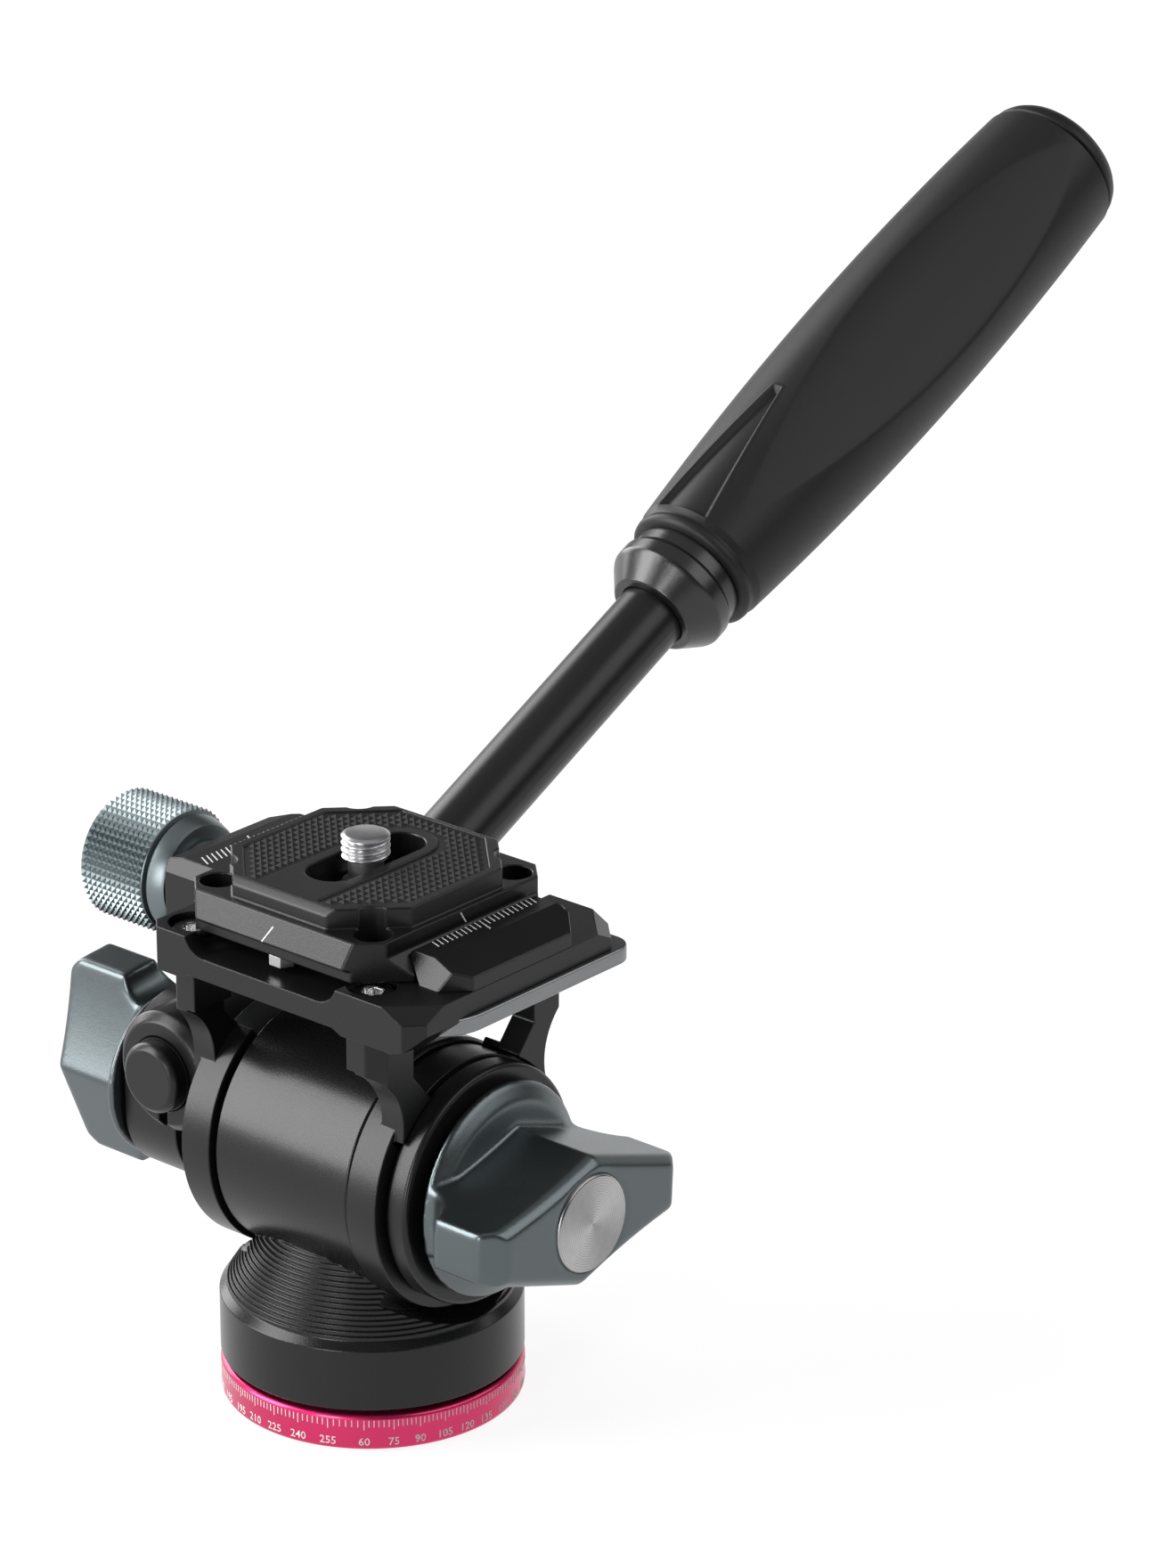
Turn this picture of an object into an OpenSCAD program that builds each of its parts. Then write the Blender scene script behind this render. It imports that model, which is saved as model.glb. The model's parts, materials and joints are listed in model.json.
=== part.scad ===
// Small video fluid head: panning base, tilting yoke, dovetail clamp and a cranked pan handle.
// Millimetres. +Z is up, +X runs along the tilt axis towards the tilt lock, the handle points to +Y.
// The origin is the centre of the tripod face under the base.

/* [Base and pan] */
// diameter of the base and of the pan housing
base_d = 40; // [39.5:0.1:41]
// height of the degree ring
ring_h = 5; // [4.8:0.1:5.2]
// height of the plain housing wall above the ring
housing_h = 8.7; // [8.4:0.1:8.8]
// number of ridges on the stepped cone
cone_steps = 17; // [12:1:20]
// minor diameter of the 3/8 inch tripod thread
tripod_thread_d = 7.94; // [7.9:0.01:8]
// compass direction of the pan lock, from +X
pan_lock_turn = 92; // [85:1:100]

/* [Tilt yoke] */
// height of the tilt axis
tilt_z = 34.9; // [34.7:0.1:35.3]
// diameter of the tilt barrel
barrel_d = 34; // [33.6:0.1:34.2]
// length of the tilt barrel
barrel_w = 23.4; // [23:0.1:23.6]
// diameter of the ring of each arm
arm_ring_d = 35.2; // [34.9:0.1:35.4]
// thickness of the ring of each arm
arm_t = 4.9; // [4.6:0.1:5]
// diameter of the tilt shaft
shaft_d = 10; // [9.6:0.1:10.4]
// diameter of the pressure ring beside the right arm
drum_d = 32.2; // [31.6:0.1:32.4]

/* [Platform] */
// height of the top face of the platform
platform_top = 66.4; // [66.3:0.1:66.6]
// half length of the platform, front to back
platform_y = 20; // [19.8:0.1:20.4]
// distance from the centre to the left edge of the platform
platform_left = 19.6; // [19.5:0.1:19.7]
// distance from the centre to the right edge of the platform
platform_right = 26.4; // [26:0.1:26.8]
// thickness of the bright side bar
bar_t = 2.2; // [2:0.1:2.3]

/* [Quick release] */
// full width of the dovetail plate
plate_w = 38; // [37.8:0.05:38.2]
// full length of the dovetail plate
plate_l = 36.6; // [36:0.1:37]
// height of the shelf of the plate above its underside
plate_shelf = 5.4; // [5.2:0.1:5.6]
// height of the pad of the plate above its underside
plate_pad = 8.3; // [8.1:0.1:8.6]
// diameter of the 1/4 inch camera thread
camera_thread_d = 6.35; // [6.3:0.01:6.35]
// height that the camera thread stands above the pad
camera_stud = 3.1; // [2.9:0.1:4.2]
// width of the slot for the camera screw
slot_w = 7; // [7:0.1:7.2]
// length of the slot for the camera screw
slot_l = 19.2; // [18.6:0.1:19.4]
// diameter of the clamp knob over its knurl
qr_knob_d = 17.6; // [16:0.1:18.4]
// number of knurl teeth round the clamp knob
qr_teeth = 44; // [30:2:48]

/* [Lock knobs] */
// half length of the wings of the tilt lock
tilt_wing_l = 18.7; // [18:0.1:19]
// flange radius of the tilt lock
tilt_flange_r = 14.5; // [14:0.1:15]
// depth of the tilt lock
tilt_wing_t = 16; // [15:0.1:17]
// half length of the wings of the handle lock
handle_wing_l = 14.2; // [13.6:0.1:15]
// flange radius of the handle lock
handle_flange_r = 11.6; // [11.2:0.1:12]
// depth of the handle lock
handle_wing_t = 15.3; // [14.4:0.1:16]
// how far the tilt lock stands turned
tilt_wing_turn = -3; // [-20:1:20]
// how far the handle lock stands turned
handle_wing_turn = 95; // [80:1:100]

/* [Handle] */
// diameter of the handle bar
handle_d = 10.1; // [9.8:0.1:10.2]
// height of the handle bar in its clamp
handle_z = 41; // [41:0.1:41.4]
// height of the clamp screw under the bar
clamp_z = 34; // [33.6:0.1:34]
// how far the handle rises behind its bend
handle_rise = 26.5; // [20:0.5:32]
// distance along the handle from the bend to the collar
collar_start = 81.5; // [70:0.1:95]
// length of the grip
grip_l = 92; // [88:0.1:98]
// largest radius of the grip
grip_r = 12.4; // [12:0.1:12.8]

/* [Clearances] */
// radial running fit of shafts, screws and pins
run_gap = 0.05; // [0.02:0.01:0.08]
// gap between faces that pass each other
pass_gap = 0.4; // [0.35:0.05:0.45]
// gap under and beside the dovetail plate
plate_gap = 0.1; // [0.05:0.01:0.15]

/* [Hidden] */
$fn = 96;
past = 1;
tall = 2 * platform_y;
base_r = base_d / 2;
washer_t = 0.5;
housing_z = ring_h + washer_t;
wall_top = housing_z + housing_h;
rim_chamfer = 1;
cone_z = wall_top + rim_chamfer;
cone_r = base_r - rim_chamfer;
cone_top_r = 12.5;
cone_top_z = 25;
edge = 0.4;
ring_seat_r = base_r - 2.4;
spindle_r = 8;
spindle_flange_r = 11;
spindle_flange_t = 2;
spindle_top = wall_top - 0.7;
tripod_thread_l = 9.5;
spindle_web = 1;
clip_r = 10;
clip_t = 1.2;
clip_bolt_r = 2.5;
clip_bolt_h = 1.6;
clip_pocket_h = 3.6;
pan_lock_z = housing_z + housing_h / 2;
pan_screw_r = 2;
pan_grip_r = 5;
pan_grip_l = 7.5;
pan_grip_teeth = 26;
pan_grip_in = base_r + 1.2;
pan_neck_r = 3.6;
pan_neck_l = 1.6;
pan_screw_out = pan_grip_in + 5.5;
knurl_depth = 0.45;

barrel_r = barrel_d / 2;
barrel_x = barrel_w / 2;
arm_in = barrel_x + pass_gap;
arm_out = arm_in + arm_t;
arm_ring_r = arm_ring_d / 2;
arm_sweep_r = arm_ring_r + 1.9;
shaft_r = shaft_d / 2;
bush_r = shaft_r + 2;
barrel_cavity_r = 13;
barrel_wall = 3.6;
rotor_r = barrel_cavity_r - pass_gap;
rotor_x = barrel_x - barrel_wall - 2;
drum_r = drum_d / 2;
drum_out = arm_out + 3.8;
drum_chamfer = 0.8;
drum_hub_r = shaft_r + 3;
tilt_flange_x = drum_out + 1.2;
tilt_screw_r = 3;
tilt_screw_in = 8;

slab_z = platform_top - 5.3;
lobe_t = 6;
lobe_z = platform_top - lobe_t;
lobe_in = 12.4;
lobe_slope = 1.5;
foot_slope = 1.2;
foot_in = 4;
foot_chamfer = 2;
left_cut = 1.6;
front_cut = 2.2;
rear_cut = 3.45;
platform_rear = platform_y + 0.65;
slope_tilt = 35;
slope_sum = 40.9;
bar_top = slab_z + bar_t + 0.2;
bar_z = bar_top - bar_t;
bar_right = platform_right + 0.8;
bar_r = 7.2;
bar_front = -15.6;
bar_rear = 21.2;
bar_corner = 3;
channel_z = platform_top - 2.35;
channel_r = 3.35;
channel_x = 9.8;
rib_y = 5;
corner_y = 15.8;
corner_head_r = 2.75;
corner_pocket_r = 3.2;
corner_sink = 0.7;
corner_head_h = platform_top - corner_sink - bar_top - plate_gap;
corner_shank_r = 1.5;
corner_l = 11;
corner_foot = platform_top - corner_l;
hex_r = 1.45;
hex_depth = 1.3;

lug_in = arm_in + 1.1;
lug_out = arm_out + 1.4;
corner_x = lug_in + 2.3;
lug_y = 18.3;
lug_chamfer = 2;
leg_x = arm_in + 2.5;
leg_waist = 13.5;
leg_waist_z = tilt_z + 11.9;
leg_curve_r = 9.2;
leg_curve_y = leg_waist + leg_curve_r;
leg_foot = tilt_z + 9.8;
lug_foot = leg_waist_z + sqrt(pow(leg_curve_r, 2) - pow(leg_curve_y - lug_y, 2)) + edge / 2;
window_y = 11.4;
window_low_y = 8.4;
leg_in = window_y - 0.3;
window_shoulder = tilt_z + arm_ring_r + 0.5;
window_low_z = tilt_z + arm_ring_r - 3.1;
window_floor_r = arm_ring_r - 1.3;

plate_z = platform_top + plate_gap;
plate_x = plate_w / 2;
plate_y = plate_l / 2;
dovetail_foot = 0.9;
dovetail_rise = 2.4;
neck_x = plate_x - dovetail_rise;
plate_cut = 6.4;
plate_lip = 1.8;
plate_lip_drop = 0.3;
plate_setback = 0.8;
plate_slope = 1.1;
plate_hole_r = 2.4;
plate_hole_x = 13.4;
plate_hole_y = 13.2;
pad_x = 15.7;
pad_y = 16.1;
pad_bevel = 0.9;
pad_cut = 7.6;
pad_rim = 1.5;
rubber_t = 0.7;
rubber_sink = 0.5;
rubber_in = 5.2;
rubber_cut = pad_cut - 0.6;
slot_y = slot_l / 2 - slot_w / 2;
recess_x = 5.6;
recess_h = 4.1;
stop_y = 15.5;
stop_r = 1.9;
stop_drop = 1.6;
stop_shank_r = 1.2;
stop_shank_l = 2.4;

stud_r = camera_thread_d / 2;
stud_top = plate_z + plate_pad + camera_stud;
stud_foot = plate_z + plate_pad + plate_gap;
stud_lead = 0.6;
stud_end = 0.3;
drive_w = 1.6;
drive_h = 1.4;
stud_l = stud_top - stud_foot;
stud_shank_r = 2.3;
stud_head_r = recess_x - pass_gap;
stud_head_z = plate_z + 0.5;
stud_head_h = 2.8;
clip_gap = 0.05;
screw_clip_t = 0.6;
screw_neck_r = slot_w / 2 - pass_gap;
screw_neck_h = 1;

jaw_top = platform_top + 3.6;
jaw_front = 12.3;
jaw_rear = 12.65;
jaw_lean = 1.9;
jaw_edge = 0.4;
jaw_nose = 0.2;
jaw_shoulder = 0.5;
jaw_nose_z = jaw_top - jaw_edge - jaw_nose;
dovetail_sum = plate_x + plate_z + dovetail_foot + plate_gap * sqrt(2);
jaw_lip = dovetail_sum - jaw_nose_z;
jaw_root = dovetail_sum - platform_top;
jaw_crease = 21.2;
jaw_edge_z = jaw_top - 1.6;
jaw_chamfer = 3.2;
jaw_left = 25.6;
jaw_foot = lobe_z + 0.2;
jaw_gap = 0.3;
moving_top = jaw_top + 1.2;
moving_crease = 23;
moving_edge_z = moving_top - 0.9;
moving_front = 10.7;
moving_rear = 11.3;
moving_chamfer = 3.4;
nose_run = 0.95;
nose_drop = 2.2;
jaw_inner = platform_left + jaw_gap;
jaw_screw_r = 1.5;
jaw_screw_y = 7;
jaw_screw_x = 23.4;
jaw_screw_rise = 1.4;
guide_r = 1.5;
guide_y = 7;
guide_z = slab_z + 1.7;
guide_end = 13.2;
guide_out = jaw_left - 1.6;
qr_z = platform_top - 2.75;
qr_screw_r = 2;
qr_screw_end = 9;
qr_knob_r = qr_knob_d / 2;
qr_collar_r = 5.2;
qr_collar_x = jaw_left + 1.1;
qr_step_x = qr_collar_x + 2.6;
qr_knurl_x = qr_step_x + 3;
qr_knurl_l = 11.2;
qr_face_r = 7.4;
qr_screw_out = qr_knurl_x + 8;
qr_chamfer = 0.8;

cap_r = 6.5;
cap_t = 0.9;
cap_proud = 0.2;
screw_short = 4;
flange_rim = 0.9;
flange_t = 2.3;
wing_foot = 0.4;
tilt_tip = 3.4;
tilt_mid = 8.8;
handle_tip = 3.1;
handle_mid = 7.4;
wing_crest = 0.03;
wing_sag = 0.035;
wing_over = 0.06;
wing_edge = 0.065;
wing_tip_edge = 0.15;
undercut_r = 0.27;
undercut_z = 0.04;
undercut_x = 1.02;
handle_cap_r = 5.4;
clamp_in = arm_out;
clamp_out = clamp_in + 18.4;
clamp_r = 9.6;
clamp_low = clamp_z - 2.8;
clamp_high = clamp_z + 3;
clamp_screw_r = 1.6;
clamp_screw_end = clamp_in + 2.6;
boss_r = 8.3;
handle_x = arm_out + boss_r;
boss_front = -12.6;
boss_rear = 10;
boss_l = boss_rear - boss_front;
boss_chamfer = 1.2;
slit_w = 1.5;
handle_flange_x = clamp_out + 0.35;

bar_r_handle = handle_d / 2;
bar_tip = -15.2;
plug_t = 2.4;
plug_chamfer = 0.7;
plug_r = bar_r_handle - 0.2;
bend_r = 14;
bend_run = bend_r * tan(handle_rise / 2);
bend_y = boss_rear + edge / 2 + bend_run;
bend_lap = 0.5;
bend_swell = 0.03;
collar_l = 9;
collar_r = 9.2;
collar_mouth = 2.8;
collar_cone = 3.2;
collar_step = 0.6;
bead_l = 1.2;
bead_in = 0.2;
bead_out = 0.5;
grip_start = collar_start + collar_l;
grip_end = grip_start + grip_l;
grip_belly = grip_start + 54;
grip_curve_r = 593;
cap_l = 4.2;
end_r = grip_r - 1.5;
end_groove = 0.5;
end_round = 3.4;
end_curve = [for (a = [0 : 15 : 90])
    [end_r - end_round * (1 - cos(a)), cap_l - end_round * (1 - sin(a))]];
leaf_start = grip_start + 4;
leaf_depth = 1.85;
bar_inside = 60;
triangle_depth = 0.8;
triangle_base = grip_start + 2.4;
triangle_l = 24;
triangle_w = 3.9;
triangle_tip = 0.6;
triangle_skin = grip_r - grip_drop(triangle_base);
triangle_tilt = atan((grip_drop(triangle_base) - grip_drop(triangle_base + triangle_l)) / triangle_l);

// how far the grip lies inside its largest radius at a distance along the handle
function grip_drop(s) = grip_curve_r - sqrt(pow(grip_curve_r, 2) - pow(s - grip_belly, 2));

// round bar along X between two stations
module rod_x(x0, x1, r, z) {
    translate([min(x0, x1), 0, z])
        rotate([0, 90, 0])
            cylinder(h = abs(x1 - x0), r = r);
}

// turned piece along X, drawn as radius over distance
module turned_x(x, z) {
    translate([x, 0, z])
        rotate([0, 90, 0])
            rotate_extrude()
                children();
}

// flat profile in Y and Z drawn out along X
module slab_x(x0, x1) {
    translate([x0, 0, 0])
        rotate([90, 0, 90])
            linear_extrude(height = x1 - x0)
                children();
}

// flat profile in X and Z drawn out along Y
module slab_y(y0, y1) {
    translate([0, y1, 0])
        rotate([90, 0, 0])
            linear_extrude(height = y1 - y0)
                children();
}

// toothed outline of a knurled knob
module knurl(r, teeth, depth) {
    step = 360 / teeth;
    polygon([for (i = [0 : 2 * teeth - 1])
        let (rad = r - (i % 2) * depth)
            [rad * cos(i * step / 2), rad * sin(i * step / 2)]]);
}

// frame of the sloping part of the handle: its Z runs along the grip
module along_handle() {
    translate([-handle_x, bend_y, handle_z])
        rotate([handle_rise - 90, 0, 0])
            children();
}

// places a piece at each of the four platform corners
module at_corners(x, y) {
    for (sx = [-1, 1])
        for (sy = [-1, 1])
            translate([sx * x, sy * y, 0])
                children();
}

// rectangle with cut corners, given by its half sizes
module cut_rect(x, y, cut) {
    polygon([[x, -y + cut], [x, y - cut], [x - cut, y], [-x + cut, y],
        [-x, y - cut], [-x, -y + cut], [-x + cut, -y], [x - cut, -y]]);
}

// long hole along Y
module slot_y_shape(half, r) {
    translate([0, half])
        circle(r = r);
    translate([0, -half])
        circle(r = r);
    translate([-r, -half])
        square([2 * r, 2 * half]);
}

module tripod_base() {
    color("#1c1d1f")
        difference() {
            cylinder(h = ring_h, r = ring_seat_r);
            translate([0, 0, -past])
                cylinder(h = ring_h + 2 * past, r = spindle_r);
            translate([0, 0, -past])
                cylinder(h = past + spindle_flange_t, r = spindle_flange_r);
        }
}

module scale_ring() {
    color("#c42a63")
        rotate_extrude()
            polygon([[ring_seat_r, 0], [base_r - edge, 0], [base_r, edge],
                [base_r, ring_h - edge], [base_r - edge, ring_h], [ring_seat_r, ring_h]]);
}

module pan_spindle() {
    color("#a9abad")
        difference() {
            union() {
                cylinder(h = spindle_flange_t, r = spindle_flange_r);
                cylinder(h = spindle_top, r = spindle_r);
            }
            translate([0, 0, -past])
                cylinder(h = past + tripod_thread_l, r = tripod_thread_d / 2);
            translate([0, 0, tripod_thread_l + spindle_web])
                cylinder(h = spindle_top, r = clip_bolt_r);
        }
}

module pan_washer() {
    color("#d8d2c0")
        translate([0, 0, ring_h])
            difference() {
                cylinder(h = washer_t, r = ring_seat_r);
                translate([0, 0, -past])
                    cylinder(h = washer_t + 2 * past, r = spindle_r);
            }
}

module spindle_clip() {
    color("#a9abad") {
        translate([0, 0, spindle_top])
            cylinder(h = clip_t, r = clip_r);
        translate([0, 0, spindle_top + clip_t])
            cylinder(h = clip_bolt_h, r = 2 * clip_bolt_r, $fn = 6);
        translate([0, 0, tripod_thread_l + spindle_web])
            cylinder(h = spindle_top - tripod_thread_l - spindle_web, r = clip_bolt_r);
    }
}

module stepped_cone() {
    drop_r = (cone_r - cone_top_r) / cone_steps;
    rise_z = (cone_top_z - cone_z) / cone_steps;
    stairs = [for (i = [0 : cone_steps - 1])
        for (k = [0, 1])
            [cone_r - i * drop_r, cone_z + (i + k) * rise_z]];
    rotate_extrude()
        polygon(concat([[0, housing_z], [base_r - edge, housing_z], [base_r, housing_z + edge],
            [base_r, wall_top]], stairs, [[0, cone_top_z]]));
}

module pan_housing() {
    color("#202124")
        difference() {
            union() {
                stepped_cone();
                turned_x(-barrel_x, tilt_z)
                    polygon([[0, 0], [barrel_r - edge, 0], [barrel_r, edge],
                        [barrel_r, barrel_w - edge], [barrel_r - edge, barrel_w], [0, barrel_w]]);
            }
            for (s = [-1, 1])
                rod_x(s * (barrel_x + pass_gap / 4), s * (base_r + past), arm_sweep_r, tilt_z);
            rod_x(-barrel_x - past, barrel_x, bush_r, tilt_z);
            rod_x(barrel_wall - barrel_x, barrel_x + past, barrel_cavity_r, tilt_z);
            translate([0, 0, housing_z - past])
                cylinder(h = spindle_top - housing_z + past, r = spindle_r + run_gap);
            translate([0, 0, spindle_top - plate_gap])
                cylinder(h = clip_pocket_h, r = clip_r + pass_gap);
            rotate([0, 0, pan_lock_turn])
                rod_x(spindle_r - past, base_r + past, pan_screw_r + run_gap, pan_lock_z);
        }
}

module bush_ring(x0, x1) {
    difference() {
        rod_x(x0, x1, bush_r, tilt_z);
        rod_x(x0 - past, x1 + past, shaft_r + run_gap, tilt_z);
    }
}

module barrel_bushes() {
    color("#b08a4a") {
        bush_ring(-barrel_x, barrel_wall - barrel_x);
        bush_ring(barrel_x - barrel_wall, barrel_x);
    }
}

module barrel_cap() {
    color("#202124")
        difference() {
            rod_x(barrel_x - barrel_wall, barrel_x, barrel_cavity_r, tilt_z);
            rod_x(barrel_x - barrel_wall - past, barrel_x + past, bush_r, tilt_z);
        }
}

module pan_lock_grip() {
    color("#5f6e73")
        rotate([0, 0, pan_lock_turn])
            translate([pan_grip_in, 0, pan_lock_z])
                rotate([0, 90, 0])
                    difference() {
                        union() {
                            cylinder(h = pan_neck_l, r = pan_neck_r);
                            translate([0, 0, pan_neck_l])
                                linear_extrude(height = pan_grip_l - pan_neck_l)
                                    knurl(pan_grip_r, pan_grip_teeth, knurl_depth);
                        }
                        translate([0, 0, -past])
                            cylinder(h = past + pan_screw_out - pan_grip_in, r = pan_screw_r);
                    }
}

module pan_lock_screw() {
    color("#a9abad")
        rotate([0, 0, pan_lock_turn])
            rod_x(spindle_r + pass_gap, pan_screw_out, pan_screw_r, pan_lock_z);
}

module leg_outline() {
    difference() {
        translate([-lug_y, leg_foot])
            square([2 * lug_y, lobe_z - leg_foot]);
        for (s = [-1, 1])
            translate([s * leg_curve_y, leg_waist_z])
                circle(r = leg_curve_r);
        window_outline();
    }
}

module window_outline() {
    difference() {
        polygon([[-window_low_y, tilt_z], [-window_low_y, window_low_z], [-window_y, window_shoulder],
            [-window_y, platform_top], [window_y, platform_top], [window_y, window_shoulder],
            [window_low_y, window_low_z], [window_low_y, tilt_z]]);
        translate([0, tilt_z])
            circle(r = window_floor_r);
    }
}

// one arm of the yoke, drawn on the +X side; the rear foot reaches up to the given height
module arm(rear_top) {
    difference() {
        union() {
            slab_x(arm_in, arm_out)
                difference() {
                    translate([0, tilt_z])
                        circle(r = arm_ring_r);
                    window_outline();
                }
            slab_x(leg_x, lug_out)
                leg_outline();
            slab_x(lug_in, lug_out)
                intersection() {
                    leg_outline();
                    translate([-lug_y, lug_foot])
                        square([2 * lug_y, lobe_z - lug_foot]);
                }
            if (rear_top > lobe_z)
                translate([lug_in, window_y, lobe_z])
                    cube([lug_out - lug_in, lug_y - window_y, rear_top - lobe_z]);
        }
        rod_x(arm_out, lug_out + past, drum_r + pass_gap, tilt_z);
        rod_x(arm_in - past, arm_out + past, shaft_r, tilt_z);
        for (sy = [-1, 1]) {
            translate([lug_out, sy * lug_y, leg_foot])
                rotate([0, 0, 45])
                    cube([lug_chamfer * sqrt(2), lug_chamfer * sqrt(2), tall], center = true);
            translate([corner_x, sy * corner_y, corner_foot])
                cylinder(h = tall, r = corner_shank_r);
        }
    }
}

module left_arm() {
    color("#1c1d1f")
        mirror([1, 0, 0])
            arm(lobe_z);
}

module right_arm() {
    color("#1c1d1f")
        arm(bar_z);
}

module platform_outline() {
    polygon([[-platform_left, -platform_y + left_cut], [-platform_left + left_cut, -platform_y],
        [platform_right - front_cut, -platform_y], [platform_right, -platform_y + front_cut],
        [platform_right, platform_rear - rear_cut], [platform_right - rear_cut, platform_rear],
        [-platform_left + left_cut, platform_rear], [-platform_left, platform_rear - left_cut]]);
}

module platform_section() {
    polygon([[-platform_left, slab_z], [-platform_left + foot_slope, lobe_z], [-lobe_in - lobe_slope, lobe_z],
        [-lobe_in, slab_z], [lobe_in, slab_z], [lobe_in + lobe_slope, lobe_z],
        [platform_right - foot_in, lobe_z], [platform_right - foot_chamfer, slab_z],
        [platform_right, slab_z + foot_chamfer], [platform_right, platform_top],
        [-platform_left, platform_top]]);
}

module bar_outline() {
    translate([bar_right - bar_r, bar_front + bar_r])
        circle(r = bar_r);
    translate([bar_right - 2 * bar_r, bar_front + bar_r])
        square([2 * bar_r, bar_rear - bar_corner - bar_front - bar_r]);
    translate([bar_right - 2 * bar_r + bar_corner, bar_rear - 2 * bar_corner])
        square([2 * bar_r - 2 * bar_corner, 2 * bar_corner]);
    for (x = [bar_right - 2 * bar_r + bar_corner, bar_right - bar_corner])
        translate([x, bar_rear - bar_corner])
            circle(r = bar_corner);
}

module channel_section() {
    for (s = [-1, 1])
        translate([s * channel_x, channel_z + channel_r])
            circle(r = channel_r);
    translate([-channel_x, channel_z])
        square([2 * channel_x, 2 * channel_r]);
}

// sloping cut across the rear right-hand corner of the platform
module corner_slope() {
    translate([slope_sum / 2, slope_sum / 2, platform_top])
        rotate([0, 0, 45])
            rotate([0, slope_tilt, 0])
                translate([0, -tall / 2, 0])
                    cube(tall);
}

module platform() {
    color("#202124")
        difference() {
            intersection() {
                translate([0, 0, lobe_z])
                    linear_extrude(height = platform_top - lobe_z)
                        platform_outline();
                slab_y(-platform_y, platform_rear)
                    platform_section();
            }
            slab_y(-platform_y - past, -rib_y)
                channel_section();
            slab_y(rib_y, platform_rear + past)
                channel_section();
            translate([0, 0, lobe_z - past])
                linear_extrude(height = bar_top - lobe_z + past)
                    bar_outline();
            translate([-platform_left - past, -leg_in, lobe_z - past])
                cube([2 * platform_right, 2 * leg_in, slab_z - lobe_z + past]);
            translate([lug_in - plate_gap, window_y, lobe_z - past])
                cube([lug_out - lug_in + 2 * plate_gap, platform_y, bar_z - lobe_z + past]);
            corner_slope();
            mirror([0, 1, 0])
                corner_slope();
            at_corners(corner_x, corner_y) {
                translate([0, 0, platform_top - corner_sink - corner_head_h])
                    cylinder(h = tall, r = corner_pocket_r);
                translate([0, 0, lobe_z - past])
                    cylinder(h = platform_top - lobe_z, r = corner_shank_r);
            }
            for (y = [-guide_y, guide_y])
                translate([0, y, 0])
                    rod_x(-platform_left - past, pass_gap - guide_end, guide_r + run_gap, guide_z);
            rod_x(-platform_left - past, pass_gap - qr_screw_end, qr_screw_r + run_gap, qr_z);
            for (y = [-jaw_screw_y, jaw_screw_y])
                translate([jaw_screw_x, y, slab_z])
                    cylinder(h = tall, r = jaw_screw_r);
        }
}

module corner_screws() {
    color("#9fa1a4")
        at_corners(corner_x, corner_y)
            translate([0, 0, platform_top - corner_sink])
                difference() {
                    union() {
                        translate([0, 0, -corner_head_h])
                            cylinder(h = corner_head_h, r = corner_head_r);
                        translate([0, 0, corner_foot - platform_top + corner_sink])
                            cylinder(h = platform_top - corner_foot - corner_sink - corner_head_h / 2,
                                r = corner_shank_r);
                    }
                    translate([0, 0, -hex_depth])
                        cylinder(h = tall, r = hex_r, $fn = 6);
                }
}

module fixed_jaw() {
    color("#202124")
        difference() {
            intersection() {
                slab_y(-jaw_front, jaw_rear)
                    polygon([[jaw_root, platform_top], [platform_right, platform_top],
                        [platform_right, jaw_edge_z], [jaw_crease, jaw_top], [jaw_lip + jaw_edge, jaw_top],
                        [jaw_lip, jaw_top - jaw_edge], [jaw_lip, jaw_nose_z]]);
                slab_x(0, platform_right)
                    polygon([[-jaw_front, platform_top], [jaw_rear, platform_top],
                        [jaw_rear, jaw_top], [jaw_lean - jaw_front, jaw_top]]);
            }
            for (y = [-jaw_front, jaw_rear])
                translate([platform_right, y, platform_top])
                    rotate([0, 0, 45])
                        cube([jaw_chamfer * sqrt(2), jaw_chamfer * sqrt(2), tall], center = true);
            for (y = [-jaw_screw_y, jaw_screw_y])
                translate([jaw_screw_x, y, platform_top - past])
                    cylinder(h = past + jaw_screw_rise, r = jaw_screw_r);
        }
}

module jaw_screws() {
    color("#9fa1a4")
        for (y = [-jaw_screw_y, jaw_screw_y])
            translate([jaw_screw_x, y, bar_top])
                cylinder(h = platform_top + jaw_screw_rise - bar_top, r = jaw_screw_r);
}

module side_bar() {
    color("#c9cbcd")
        difference() {
            translate([0, 0, bar_z])
                linear_extrude(height = bar_t)
                    bar_outline();
            at_corners(corner_x, corner_y)
                translate([0, 0, bar_z - past])
                    cylinder(h = bar_t + 2 * past, r = corner_shank_r);
        }
}

module clamp_outline() {
    for (z = [clamp_low, clamp_high])
        translate([0, z])
            circle(r = clamp_r);
    translate([-clamp_r, clamp_low])
        square([2 * clamp_r, clamp_high - clamp_low]);
}

module handle_clamp() {
    color("#1c1d1f")
        difference() {
            union() {
                slab_x(-clamp_out, -clamp_in)
                    clamp_outline();
                translate([-handle_x, boss_front, handle_z])
                    rotate([-90, 0, 0])
                        rotate_extrude()
                            polygon([[0, 0], [boss_r - boss_chamfer, 0], [boss_r, boss_chamfer],
                                [boss_r, boss_l - boss_chamfer], [boss_r - boss_chamfer, boss_l],
                                [0, boss_l]]);
            }
            translate([-handle_x, -platform_y, handle_z])
                rotate([-90, 0, 0])
                    cylinder(h = 2 * platform_y, r = bar_r_handle + run_gap);
            translate([-handle_x - slit_w / 2, -platform_y, clamp_z - 2 * clamp_r])
                cube([slit_w, 2 * platform_y, 2 * clamp_r + handle_z - clamp_z]);
            rod_x(-clamp_out - past, pass_gap - clamp_screw_end, clamp_screw_r + run_gap, clamp_z);
        }
}

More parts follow.
